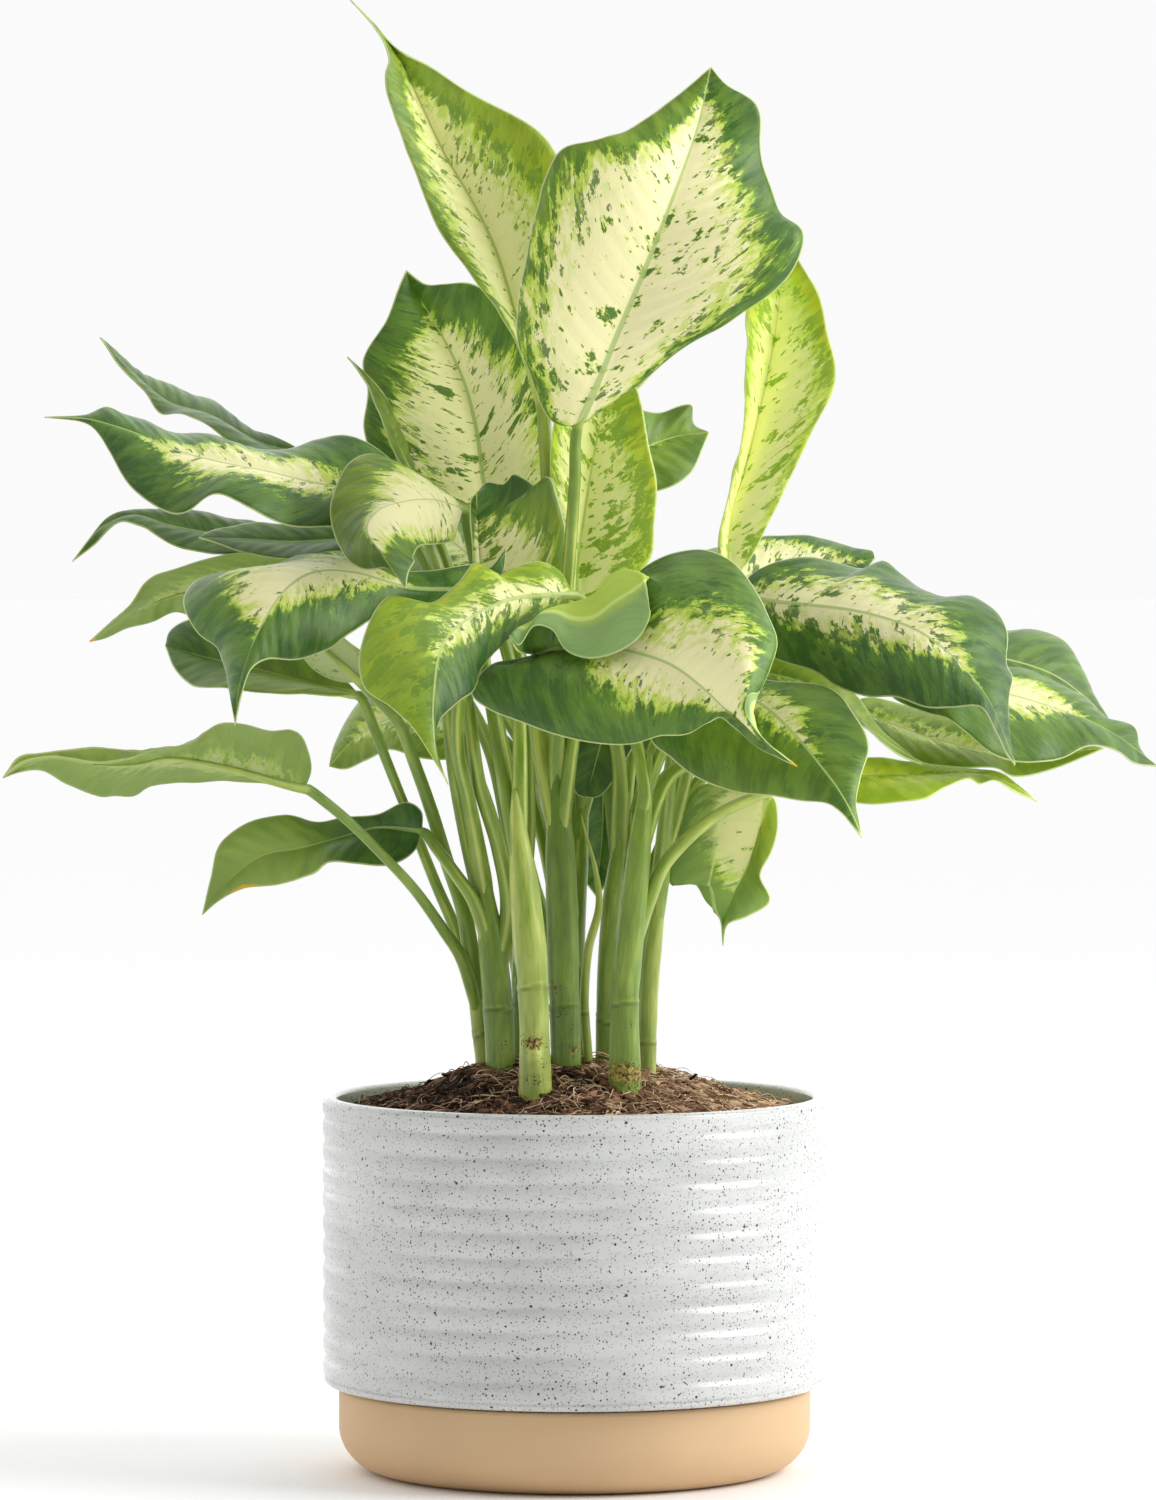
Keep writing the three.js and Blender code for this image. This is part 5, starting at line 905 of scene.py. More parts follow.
class LeafPattern:
    """The colours of a blade, each layer laid over the one before. The pattern lies on `streak`, a place on
    the blade that runs along the side veins. `amount` is how cream a point is: the `cream` value that the
    mesh carries plus a noise, so that 0.5 is the middle of the fringe. `tone` mixes the colours of a
    blue-green leaf, which are called cool here, with those of a yellow-green one, which are called warm."""

    def __init__(self, graph, settings):
        self.graph = graph
        self.pale, self.fringe, self.green, self.deep, self.young = (
            np.array(shown) for shown in (settings.cream, settings.fringe, settings.green, settings.deep,
                                          settings.young))
        self.streak = graph.mark("streak", "Vector")
        self.tone, self.under, self.cream, self.flecks = (
            graph.mark(name) for name in ("tone", "underside", "cream", "flecks"))
        self.broad = graph.noise(self.streak, 1.3, 8.0, 0.74)
        self.cluster = graph.noise(self.streak, 0.45, 2.0, 0.5)
        self.small = graph.noise(graph.vector("MULTIPLY", self.streak, (1.25, 0.85, 1.0)), 2.6, 2.5, 0.5)
        strayed = graph.math("ADD", self.cream, graph.centred(self.broad, 2 * settings.ragged))
        self.amount = graph.math("MULTIPLY_ADD", strayed, 0.5, 0.5)
        self.halo_colour = linear(blend(self.fringe, self.pale, 0.15))
        self.patch_colour = graph.mix(self.tone, linear(blend(self.green, self.deep, 0.85)),
                                      linear(blend(self.green, self.young, 0.35)))

    def ground(self):
        """Dark green, bright green, the fringe and cream, one after the other as `amount` grows."""

        def palette(dark, middle, bright, light, reach):
            """The colours in order. The fringe takes up `reach` on each side of 0.5."""
            return [(0.2, linear(dark)), (0.5 - 2.2 * reach, linear(middle)), (0.5 - reach, linear(bright)),
                    (0.5, linear(self.fringe)), (0.5 + reach, linear(blend(self.fringe, light, 0.4))),
                    (0.5 + 2.2 * reach, linear(blend(self.fringe, light, 0.88))),
                    (0.5 + 4 * reach, linear(light))]

        cool = palette(self.deep, blend(self.green, self.deep, 0.55), blend(self.green, self.deep, 0.1),
                       self.pale, 0.026)
        warm = palette(blend(self.green, self.young, 0.55), self.young, blend(self.young, self.fringe, 0.4),
                       blend(self.pale, self.fringe, 0.28), 0.042)
        return self.graph.mix(self.tone, self.graph.ramp(self.amount, cool),
                              self.graph.ramp(self.amount, warm))

    def patches(self, shade):
        """Green patches, which crowd the cream's edge and thin out towards the rib."""
        graph = self.graph
        drawn = graph.noise(self.streak, 1.5, 6.0, 0.66)
        inward = graph.math("MULTIPLY_ADD", graph.math("MAXIMUM", self.cream, 0.0), -0.3,
                            graph.centred(self.cluster, 0.24))
        crowd = graph.math("ADD", graph.math("MULTIPLY_ADD", self.flecks, 0.12, inward), drawn)
        near = graph.steps(self.cream, -0.45, -0.05, 0.25, 0.88)
        patch = graph.times(graph.steps(crowd, 0.555, 0.58), near)
        return graph.mix(patch, shade, self.patch_colour)

    def clouds(self, shade):
        """Pale clouds over the green outside the cream."""
        graph = self.graph
        moved = graph.vector("ADD", self.streak, (7.0, 3.0, 0.0))
        most = graph.steps(self.cream, 0.1, -0.2, 0.0, 0.34)
        cloud = graph.steps(graph.noise(moved, 0.9, 4.0, 0.6), 0.4, 0.62, 0.0, most)
        pale_green = linear(blend(self.green, PALE_CLOUD, 0.25))
        return graph.mix(cloud, shade, graph.mix(self.tone, pale_green, linear(self.fringe)))

    def mottle(self, shade):
        """A mottle in the fringe's colour over the outer part of the cream."""
        graph = self.graph
        moved = graph.vector("ADD", self.streak, (3.0, 8.0, 0.0))
        mottle = graph.steps(graph.noise(moved, 2.1, 4.0, 0.6), 0.47, 0.58)
        mottle = graph.times(mottle, graph.steps(self.cream, 0.5, 0.1, 0.0, 0.8))
        mottle = graph.times(mottle, graph.steps(self.amount, 0.5, 0.56))
        return graph.mix(mottle, shade, self.halo_colour)

    def spots(self, shade):
        """Large and small green spots, which have a halo where they lie in the cream."""
        graph = self.graph
        large = graph.noise(graph.vector("ADD", self.streak, (1.0, 6.0, 2.0)), 1.05, 5.0, 0.6)
        dense = graph.math("MULTIPLY_ADD", self.flecks, 0.14, graph.centred(self.cluster, 0.2))
        halo = graph.steps(self.amount, 0.47, 0.54, 0.0, 0.75)
        for noise, edge in ((large, 0.70), (self.small, 0.745)):
            spot = graph.math("ADD", dense, noise)
            around = graph.times(halo, graph.steps(spot, edge - 0.035, edge))
            shade = graph.mix(around, shade, self.halo_colour)
            shade = graph.mix(graph.steps(spot, edge, edge + 0.015, 0.0, 0.92), shade, self.patch_colour)
        return shade

    def lines(self, shade):
        """Faint side veins, the pale rib and the pale rim."""
        graph = self.graph
        to_vein = graph.math("PINGPONG", graph.mark("vein_place"), 0.5)
        vein = graph.times(graph.steps(to_vein, 0.07, 0.02), 0.08)
        shade = graph.mix(vein, shade, linear(blend(self.green, self.pale, 0.45)))
        rib = graph.mix(self.tone, linear(RIB_COOL), linear(RIB_WARM))
        shade = graph.mix(graph.steps(graph.mark("from_rib"), 1.15, 0.8, 0.0, 0.85), shade, rib)
        rim = graph.steps(graph.mark("from_edge"), 0.7, 0.3, 0.0, 0.75)
        return graph.mix(rim, shade, linear(PALE_RIM))

    def underside(self, shade):
        """The even green of the underside, through which the pattern still shows."""
        back = self.graph.mix(self.tone, linear(BACK_COOL), linear(BACK_WARM))
        return self.graph.mix(self.graph.times(self.under, 0.66), shade, back)

    def burns(self, shade):
        """Burnt tips and burnt places on a margin."""
        graph = self.graph
        burn = graph.math("ADD", graph.mark("burn"), graph.centred(self.small, 0.8))
        return graph.mix(graph.steps(burn, 0.35, 0.6), shade, linear(BURNT))


def leaf_material(settings):
    """A variegated blade: the layers of its pattern, times the `shade` value that the mesh carries, which is
    partly the leaf's own tone and partly painted light: a painted glow on backlit blades and painted shade on
    shadowed ones. The underside is duller than the upper side, and both have the pattern's streaks and fine
    pores as relief."""
    material, graph, shader = new_material("variegated_leaf", linear(settings.green), Roughness=0.4,
                                           Specular_IOR_Level=0.36)
    pattern = LeafPattern(graph, settings)
    shade = pattern.ground()
    for layer in (pattern.patches, pattern.clouds, pattern.mottle, pattern.spots, pattern.lines,
                  pattern.underside, pattern.burns):
        shade = layer(shade)
    # the blade's colours times `shade`, which holds painted light and painted shade as well as the leaf's own
    # tone
    lit = graph.node("ShaderNodeVectorMath", {0: shade, "Scale": graph.mark("shade")}, operation="SCALE")
    graph.set(shader.inputs["Base Color"], lit.outputs[0])
    graph.set(shader.inputs["Roughness"], graph.math("MULTIPLY_ADD", pattern.under, 0.16, 0.4))
    pores = graph.noise(pattern.streak, 14.0, 2.0)
    height = graph.math("ADD", graph.times(pattern.broad, 1.4), graph.times(pores, 0.6))
    relief(graph, shader, height, 0.0003, 0.5)
    return material


# ---- Shapes of the plant ------------------------------------------------------------------------

BLADE_SPAN = (0.004, 0.996)  # the rows of a blade lie between these shares of its rib
BLADE_BOW = 0.1  # rise of a blade between rib and margin, as a share of that width
MARGIN_LEAD = 0.86  # below 1, the margins run ahead of the rib near the base
MARGIN_STEPS = 40  # points of a rib or margin for each stretch between two given ones
ROW_STEP = 1.0  # mm between two rows of a blade
HALF_COLUMNS = 17  # from a blade's rib to its margin
COLUMN_CROWDING = 1.2  # above 1, columns lie closer together near the rib
VEIN_LEAN = (0.3, 0.011)  # a side vein is ahead of its start by a*d + b*d^2 at d mm from the rib
RIB_REACH = ((0, 0.15, 1), (2.0, 1.3, 0.35))  # half the full width of the pale rib, mm, at shares of it

STALK_STEP = 2.2  # mm between two rings of a stalk
STALK_SIDES = 16
STALK_RUN_ON = 0.12  # share of the rib that the stalk's curve is aimed along
STALK_SHARES, STALK_RADII = (0.22, 0.45, 0.7), (3.3, 2.6, 2.3)  # radii in mm at shares of the way up
STALK_TOP_RADIUS = 1.95  # mm
KEEL_END = 0.72  # share of the rib that a stalk runs on below
SHEATH_LENGTH, SHEATH_GAP = 38.0, 9.0  # a sheath follows its cane between these, mm below the stalk's foot

CANE_STEP = 1.1  # mm between two rings of points of a cane
CANE_SIDES = 28
CANE_DEPTH = 34.0  # how far a cane stands in the soil, mm


def carried(along, side):
    """A direction carried along a curve, made square to the curve at each of its points."""
    result = np.empty_like(along)
    for i, way in enumerate(along):
        side = unit(side - way * side.dot(way))
        result[i] = side
    return result


def tube(path, radius, side, around, bulge):
    """Rings round a path. A point of a ring is centre + r (cos a * side + sin a * up), where side is
    carried along the path and up = side x along. `bulge` multiplies r, rows by points. Also returns the
    flat offsets with the distance along, which the stem's pattern is drawn on."""
    along = unit(np.gradient(path, axis=0))
    up = np.cross(side, along)
    angle = -np.arange(around) / around * math.tau
    r = radius[:, None] * bulge
    across, rise = r * np.cos(angle), r * np.sin(angle)
    rings = path[:, None] + across[..., None] * side[:, None] + rise[..., None] * up[:, None]
    far = np.broadcast_to(reach(path)[:, None], across.shape)
    return rings, np.stack([across, rise, far], -1)


def stem_shell(rings, grain, material, **marks):
    """A shell of stem, with its pattern's place and the marks given as rows by points."""
    points, quads, triangles = skin(rings)
    full = {name: ends_too(np.broadcast_to(value, rings.shape[:2])) for name, value in marks.items()}
    return dict(points=points, quads=quads, triangles=triangles, material=material,
                marks=dict(grain=ends_too(grain), **full))


def blade_frame(spec):
    """The rib and margins of a leaf as dense curves, with the halfway line of a folded side."""
    rib_points = seen_line(spec["rib"], spec["rib_y"])

    def margin(name):
        """A line of the table, from the rib's first point to its last."""
        line = seen_line(spec[name], spec[name + "_y"])
        return smooth_line(np.vstack([rib_points[0], line, rib_points[-1]]), MARGIN_STEPS)

    mid = margin("left_mid") if "left_mid" in spec else None
    return smooth_line(rib_points, MARGIN_STEPS), margin("left"), margin("right"), mid


def blade_grid(curves):
    """A blade's middle surface as a grid: rows from base to tip, at the share t of the rib's length, by
    columns from the left margin over the rib to the right one. Each half of a row is the parabola through
    the rib, a point halfway and the margin. The point halfway is lifted by a share of that width, unless
    the leaf's table places it. The grid also holds, in mm, how far each point is from the rib, how far
    along it, and how wide its half of the row is. w is the share from rib to margin that a column is made
    for, and side is -1 for the columns at the left and 1 for those at the right."""
    rib, left, right, left_mid = curves
    t = np.linspace(*BLADE_SPAN, int(max(reach(left)[-1], reach(right)[-1]) / ROW_STEP))
    place = t ** MARGIN_LEAD
    ribs, lefts, rights = at_share(rib, t), at_share(left, place), at_share(right, place)
    up = unit(np.cross(rights - lefts, heading(rib, t)))

    def halfway(margin):
        """The points halfway to a margin, lifted by a share of the distance between rib and margin."""
        return 0.5 * (ribs + margin) + up * BLADE_BOW * np.linalg.norm(margin - ribs, axis=1, keepdims=True)

    def half(middle, margin):
        """The parabola that is at the rib for w = 0, at the middle for 0.5 and at the margin for 1."""
        w = (np.linspace(0, 1, HALF_COLUMNS + 1)[1:] ** COLUMN_CROWDING)[:, None]
        return ((1 - w) * (1 - 2 * w) * ribs[:, None] + 4 * w * (1 - w) * middle[:, None]
                + w * (2 * w - 1) * margin[:, None])

    left_half = half(halfway(lefts) if left_mid is None else at_share(left_mid, place), lefts)
    right_half = half(halfway(rights), rights)
    sheet = np.concatenate([left_half[:, ::-1], ribs[:, None], right_half], axis=1)
    w = np.abs(np.linspace(-1, 1, 2 * HALF_COLUMNS + 1)) ** COLUMN_CROWDING
    side = np.sign(np.arange(len(w)) - HALF_COLUMNS)
    steps = np.linalg.norm(np.diff(sheet, axis=1), axis=2)
    far = np.concatenate([np.zeros((len(t), 1)), np.cumsum(steps, axis=1)], axis=1)
    far = np.abs(far - far[:, HALF_COLUMNS:HALF_COLUMNS + 1])
    width = np.where(side < 0, far[:, :1], far[:, -1:])
    length = reach(rib)[-1]
    return SimpleNamespace(sheet=sheet, t=t, w=w, side=side, far=far, width=width, length=length,
                           along=(t * length)[:, None] + 0 * far)


def blade_shell(spec, curves, rng, settings):
    """A leaf's blade. The grid moves along its normal by waves that grow as w^1.4 and ripples that grow as
    w^4, which fade out at both ends of the rib, and by |cos|^1.5 grooves over the side veins, which fade
    out at the rib, the margin and the base. The side vein through a point starts at along - a far - b far^2
    on the rib. The blade's two sides lie half its thickness off, which thins as w^8, and the rib is raised
    as exp(-(far / line)^4) between two shallow troughs."""
    grid, rib = blade_grid(curves), curves[0]
    t, w, side, far, along = grid.t[:, None], grid.w, grid.side, grid.far, grid.along
    start = along - VEIN_LEAN[0] * far - VEIN_LEAN[1] * far**2
    start = start + lattice(start, far * side * 0.5, 13, rng) * 1.3
    pitch = settings.vein_pitch / MM
    uneven = 0.75 + 0.5 * lattice(start, far * side, 17, rng)
    groove = np.abs(np.cos(math.pi * start / pitch)) ** 1.5 * uneven
    fade = (1 - np.exp(-(far / 5) ** 2)) * (1 - w**5) * np.minimum(1, along / 14)
    waves = lattice(start, far * side * 0.25 + 40, 21, rng) * 1.7 * w**1.4
    ripple = lattice(along, side * 60 + 0 * far, 8, rng) * settings.ripple / MM * w**4
    taper = np.minimum(1, np.minimum(t, 1 - t) * 6)
    normal = unit(np.cross(np.gradient(grid.sheet, axis=1), np.gradient(grid.sheet, axis=0)))
    room = np.clip(grid.width / 14, 0, 1)
    lift = room * ((waves + ripple) * taper - settings.vein_depth / MM * groove * fade)
    sheet = grid.sheet + normal * lift[..., None]
    half_thick = settings.blade_thickness / MM * (1 - 0.5 * w**8) / 2
    line = np.interp(t, *RIB_REACH) * spec.get("rib_width", 0.6)
    raised = 0.32 * line * np.exp(-(far / line) ** 4) - 0.22 * np.exp(-((far / line - 1.7) / 0.6) ** 2)
    top = sheet + normal * (half_thick + raised * room * (1 - 0.7 * t))[..., None]
    below = sheet - normal * (half_thick + 0 * far)[..., None]
    points, quads, triangles = skin(np.concatenate([top, below[:, ::-1]], axis=1), rib[0], rib[-1])
    marks = blade_marks(spec, grid, start / pitch, far / line, rng.uniform(0, 90))
    return dict(points=points, quads=quads, triangles=triangles, material=0, marks=marks)


def blade_marks(spec, grid, vein_place, from_rib, seed):
    """The values that the leaf's material reads, over both sides of a blade. The cream value is the share
    of the way that the cream reaches minus w, so that it falls through 0 near the cream's edge. The seed
    moves the pattern, so that each leaf has its own."""
    t, w, side, far, width = grid.t, grid.w, grid.side, grid.far, grid.width

    def both(above, below=None):
        """Values over the upper side and the underside, which has the same ones unless it is given."""
        above = above + np.zeros(far.shape + np.shape(above)[2:])
        below = above if below is None else below + 0 * far
        return ends_too(np.concatenate([above, below[:, ::-1]], axis=1))

    def down_rib(value):
        """The table's values from base to tip."""
        return spread(str(value), t)[:, None]

    def by_side(name, otherwise):
        """The table's values from base to tip at the two margins, or the same number all over."""
        return np.where(side < 0, *(down_rib(spec.get(name + way, otherwise)) for way in ("_left", "_right")))

    cream = by_side("cream", spec.get("cream", 0))
    tone = down_rib(spec["tone"])
    tone = tone + (by_side("tone", spec["tone"]) - tone) * w**0.8
    # `shade` and its margin values: partly the leaf's own tone, partly painted light and painted shade
    bright = down_rib(spec.get("shade", 1.0))
    lit = bright * (1 + (by_side("shade", 1.0) - 1) * w)
    rolled_from = by_side("rolled", 2)
    rolled = w > rolled_from
    rim = width - far
    fold = np.maximum(np.abs(w - rolled_from) * width - 0.4, 0.25)
    crest = spec.get("crest", 0)
    from_crest = np.maximum(np.abs(w - crest) * width - 0.8, 0)
    rim_below = np.where(w > 0.3, np.minimum(rim, from_crest), rim) if crest else rim
    scorched_side, scorched_at = spec.get("scorch", (0, 0.0))
    off_scorch = ((t[:, None] - scorched_at) * grid.length / 7) ** 2 + (rim / 1.6) ** 2
    tip_burn = np.exp(-((1 - t[:, None]) * grid.length / 3.2) ** 2) * spec.get("burn", 0.25)
    streaky = spec.get("streaky", 0.35)
    streak = np.stack([vein_place * (0.9 + 0.7 * streaky), far * side / 8.5 * (0.9 - 0.3 * streaky),
                       0 * far + seed], -1)
    return dict(
        cream=both(cream - w - 0.15 * (1 - cream)),
        streak=both(streak),
        vein_place=both(vein_place),
        tone=both(tone, np.where(w < crest, 1, tone)),
        flecks=both(spec["flecks"]),
        underside=both(np.maximum(down_rib(spec.get("matt", 0)), rolled), 1.0 - rolled),
        from_rib=both(from_rib),
        from_edge=both(np.minimum(rim, fold), np.minimum(rim_below, fold)),
        # the leaf's own tone with painted light and painted shade, on both sides of the blade
        shade=both(lit, bright * (1 - 0.22 * rolled) * spec.get("shade_below", 1)),
        burn=both(tip_burn + (side == scorched_side) * np.exp(-off_scorch)))


def nearest_cane(point):
    """The axis of the cane that comes nearest to a point, up to the height of the point, and the cane's
    radius there."""
    best = None
    for spec in CANES.values():
        axis = smooth_line(seen(*numbers(spec["path"]).T))
        gap = np.linalg.norm(axis - point, axis=1)
        if best is None or gap.min() < best[0]:
            place = gap.argmin() / (len(axis) - 1)
            best = gap.min(), axis[:gap.argmin() + 1], float(spread(spec["radius"], place))
    return best[1:]


def stalk_path(spec, curves, cane_axis):
    """A stalk's middle line: down the cane inside its sheath, through the table's points and on below the
    midrib as a keel. Returns its points, how many of them come before the keel, the shares t of the rib
    that the keel's points lie below, the keel's radii there, and the way across the blade at its base."""
    rib, left, right, _ = curves
    foot = seen(*numbers(spec["stalk"]).T)
    down = reach(cane_axis)[-1] - reach(cane_axis)
    wrapped = cane_axis[(down < SHEATH_LENGTH) & (down > SHEATH_GAP)][::8]
    curve = smooth_line(np.vstack([wrapped, foot[1:], rib[0], at_share(rib, np.array([STALK_RUN_ON]))]))
    stalk = curve[:(len(wrapped) + len(foot) - 1) * CURVE_STEPS - 2]
    t = np.linspace(0, KEEL_END, 40)
    place = np.maximum(t, 0.06) ** MARGIN_LEAD
    broad = at_share(right, place) - at_share(left, place)
    up = unit(np.cross(broad, heading(rib, t)))
    keel_radius = np.interp(t, [0, 0.06, 0.3, KEEL_END], [1.8, 1.55, 0.95, 0.3])
    drop = keel_radius * np.interp(t, [0, 0.05, 0.12, 1], [0.3, 0.8, 1.0, 1.0])
    keel = at_share(rib, t) - up * drop[:, None]
    return np.vstack([stalk, keel]), len(stalk), t, keel_radius, broad[3]


def stalk_shell(spec, curves):
    """A leaf's stalk: a tube that wraps the cane below it as a sheath, narrows as it leaves it, runs up to
    the blade and on below the midrib. Its upper side, at 270 degrees, has a channel with a pale edge at
    each side, which fades out halfway up."""
    cane_axis, cane_radius = nearest_cane(seen(*numbers(spec["stalk"]).T)[0])
    full, count, t, keel_radius, broad = stalk_path(spec, curves, cane_axis)
    stalk_far, total = reach(full)[count], reach(full)[-1]
    place = np.linspace(0, 1, int(total / STALK_STEP))
    path = at_share(full, place)
    far = place * total
    share_up = far / stalk_far
    thick = spec.get("stalk_width", 1.0)
    foot_radius = max(cane_radius * 0.92, 3.2) * thick
    radii = [foot_radius, *(thick * r for r in STALK_RADII), STALK_TOP_RADIUS]
    width = np.interp(share_up, [0, *STALK_SHARES, 1], radii) * np.interp(far, [0, 10, 30], [0.3, 0.72, 1])
    below_rib = (far - stalk_far) / (total - stalk_far) * KEEL_END
    radius = np.where(share_up < 1, width, np.interp(below_rib, t, keel_radius))
    base = int(np.searchsorted(far, stalk_far))
    along = unit(np.gradient(path, axis=0))
    side = np.vstack([carried(along[:base][::-1], broad)[::-1], carried(along[base:], broad)])
    off_top = np.arange(STALK_SIDES) / STALK_SIDES * 360 - 270
    channel = np.exp(-(off_top / 30) ** 2) * np.interp(share_up, [0, 0.5, 0.8], [0.36, 0.28, 0])[:, None]
    rings, grain = tube(path, radius, side, STALK_SIDES, 1 - channel)
    edge = np.exp(-((np.abs(off_top) - 42) / 13) ** 2)
    age = 0.52 - 0.5 * edge * np.interp(share_up, [0, 0.7, 0.9], [1, 1, 0])[:, None]
    age = age + spec.get("stalk_age", 0.0) - 0.25 * (far > stalk_far)[:, None]
    grain = grain + (own_number(spec["stalk"]), 0, 0)
    return stem_shell(rings, grain, 1, age=age, ring=0.0, scar=0.0)


def own_number(text):
    """A number from 0 to 89 that is always the same for the same text."""
    return sum(map(ord, text)) % 90


def cane_shell(spec):
    """A cane: a tube whose radius follows the table. It swells at each ring and, less, just above it, with
    a groove along the ring itself. From the lowest ring up, the edge of a rolled sheath winds round it: the
    radius grows evenly with the turn from that edge and drops back at it. Scars and the bud lie on the
    front, strongest in their middles, and a bud also stands out."""
    points = seen(*numbers(spec["path"]).T)
    full = smooth_line(np.vstack([points[0] - (0, 0, CANE_DEPTH), points]))
    place = np.linspace(0, 1, int(reach(full)[-1] / CANE_STEP))
    path = at_share(full, place)
    first, *others = spec["radius"].split()
    radius = spread(" ".join([first, first, *others]), place)
    from_top = (1 - place) * reach(full)[-1]
    radius = radius * np.interp(from_top, [0, 2, 10, 36], [0.15, 0.4, 0.7, 1])
    z = path[:, 2:]
    rings_at = numbers(spec["rings"])[:, 0]
    angle = np.arange(CANE_SIDES) / CANE_SIDES * math.tau
    turned_by = own_number(spec["path"])
    over = z[..., None] - rings_at - 1.3 * np.cos(angle[:, None] + turned_by + rings_at)
    strength = np.r_[1, np.full(len(rings_at) - 1, 0.3)]
    swell = (strength * (np.exp(-(over / 2.6) ** 2) + 0.5 * (over > 0) * np.exp(-over / 9))).sum(2)
    line = (strength * np.exp(-((over + 0.3) / 0.55) ** 2)).sum(2)
    lip = (strength * np.exp(-((over - 0.8) / 0.6) ** 2)).sum(2)
    above_ring = z - rings_at[0]
    turn = (angle - 0.012 * above_ring - turned_by) % math.tau / math.tau
    formed = np.clip((above_ring - 2) / 8, 0, 1)
    rolled = formed * turn
    bulge = 1 + 0.03 * swell + 0.12 * (rolled - 0.5 * (rolled > 0)) - 0.05 * line
    side = carried(unit(np.gradient(path, axis=0)), np.array([1.0, 0, 0]))
    rings, grain = tube(path, radius, side, CANE_SIDES, bulge)
    seam = np.clip(1 - turn * 14, 0, 1) * formed
    age = spec["age"] - 0.15 * np.clip(np.abs(above_ring) / 10, 0, 1) - 0.5 * seam - 0.22 * lip
    front = rings[..., 1] < path[:, None, 1]

    def places(name, tall):
        """The size of each x, z, size in the table, with the squared distance to it in those sizes."""
        for x, height, size in numbers(spec.get(name, "")).reshape(-1, 3):
            centre = seen(x, height, path[0, 1] - radius.mean())
            across, up = rings[..., 0] - centre[0], rings[..., 2] - centre[2]
            yield size, (across / size) ** 2 + (up / (tall * size)) ** 2

    scar = front * sum(min(1, size / 4) * np.exp(-off) for size, off in places("scars", 0.7))
    for size, off in places("bud", 1.5):
        bump = np.exp(-off**1.5) * front
        rings[..., 1] -= 0.7 * size * bump
        age = age - 1.1 * bump
    return stem_shell(rings, grain + (turned_by, 0, 0), 0, age=age, ring=0.7 * line, scar=scar)


# ---- Pot, tray and soil -------------------------------------------------------------------------

SLEEVE_BOTTOM = 31.0  # where the pot's wide wall ends above the tray, mm
POT_WALL = 4.0  # thickness, mm
FOOT_RADIUS = 79.5  # of the part of the pot that stands in the tray, mm
RIM_INSET = 0.4  # how far the pot's edges lie inside its widest radius, mm
RIM_RISE = 1.5  # height of a rim's round top, mm
TRAY_WALL = 3.0  # thickness, mm
TRAY_CORNER = 20.0  # height of the straight part of the tray's wall, mm
TURNS = 256  # points round a turned form


def turned(profile, wave=None):
    """Rings of a turned form: each r, z pair of the profile carried round the Z axis. `wave` gives what is
    added to r from the angle and the height."""
    r, z = profile[:, :1], profile[:, 1:]
    angle = np.arange(TURNS) / TURNS * math.tau
    r = r + (wave(angle[None], z) if wave else 0)
    return np.stack([r * np.cos(angle), r * np.sin(angle), z + 0 * angle], -1)


def corner(radius, bottom, size, count=9):
    """A quarter circle from (radius - size, bottom) up to (radius, bottom + size), as r, z pairs."""
    a = np.linspace(0, math.pi / 2, count)
    return np.stack([radius - size + size * np.sin(a), bottom + size * (1 - np.cos(a))], -1)


def pot_shell(settings, rng):
    """The pot: a turned wall whose outer radius is R - depth * ((1 + cos(2 pi (g - z) / pitch)) / 2)^2 over
    the ridges, with g the height of the highest groove, a rounded rim, and a foot inside the tray."""
    outer, pitch = settings.radius / MM, settings.ridge_pitch / MM
    depth, band = settings.ridge_depth / MM, settings.rim_band / MM
    top, bottom = POT_HIGH[2] / MM, POT_LOW[2] / MM
    inner, foot_inner = outer - depth - POT_WALL, FOOT_RADIUS - POT_WALL
    wall = np.linspace(SLEEVE_BOTTOM + 3, top - 1.6, 190)
    rim = np.linspace(0, math.pi, 17)
    edge = outer - RIM_INSET
    lip = (edge - inner) / 2
    profile = np.vstack([
        [(1, bottom)], corner(FOOT_RADIUS, bottom, 14), [(FOOT_RADIUS, SLEEVE_BOTTOM - 0.4)],
        [(FOOT_RADIUS + 0.4, SLEEVE_BOTTOM)], corner(edge, SLEEVE_BOTTOM, 2.6),
        np.stack([0 * wall + outer, wall], -1),
        np.stack([edge - lip + lip * np.cos(rim), top - RIM_RISE + RIM_RISE * np.sin(rim)], -1),
        [(inner, top - 4), (inner, 80), (inner, 42), (inner - 0.6, 40.6)],
        [(foot_inner + 0.5, SLEEVE_BOTTOM + 2.4), (foot_inner, SLEEVE_BOTTOM + 1)],
        corner(foot_inner, bottom + POT_WALL, 10)[::-1], [(1, bottom + POT_WALL)]])
    highest = int(np.argmax(profile[:, 1]))
    row = np.arange(len(profile))[:, None]

    def wave(angle, z):
        """The grooves, each a little uneven and tilted round the pot by smooth random heights."""
        lean = lattice(angle * outer * 0.35, z * 0.2, 22, rng) * 0.7
        uneven = 0.72 + 0.4 * lattice(angle * outer * 0.4, z, 11, rng)
        down = top - band - z + lean
        ridged = ((1 + np.cos(math.tau * down / pitch)) / 2) ** 2 * np.clip(down / 2 + 1, 0, 1)
        outside = (row <= highest) & (z > SLEEVE_BOTTOM + 2.5) & (z < top - RIM_RISE)
        return -depth * ridged * uneven * outside

    points, quads, triangles = skin(turned(profile, wave))
    # the inner wall and floor, which get the painted shade and painted green reflection
    lining = np.repeat((row > highest + 5) * 1.0, TURNS, axis=1)
    return dict(points=points, quads=quads, triangles=triangles, marks=dict(lining=ends_too(lining)))


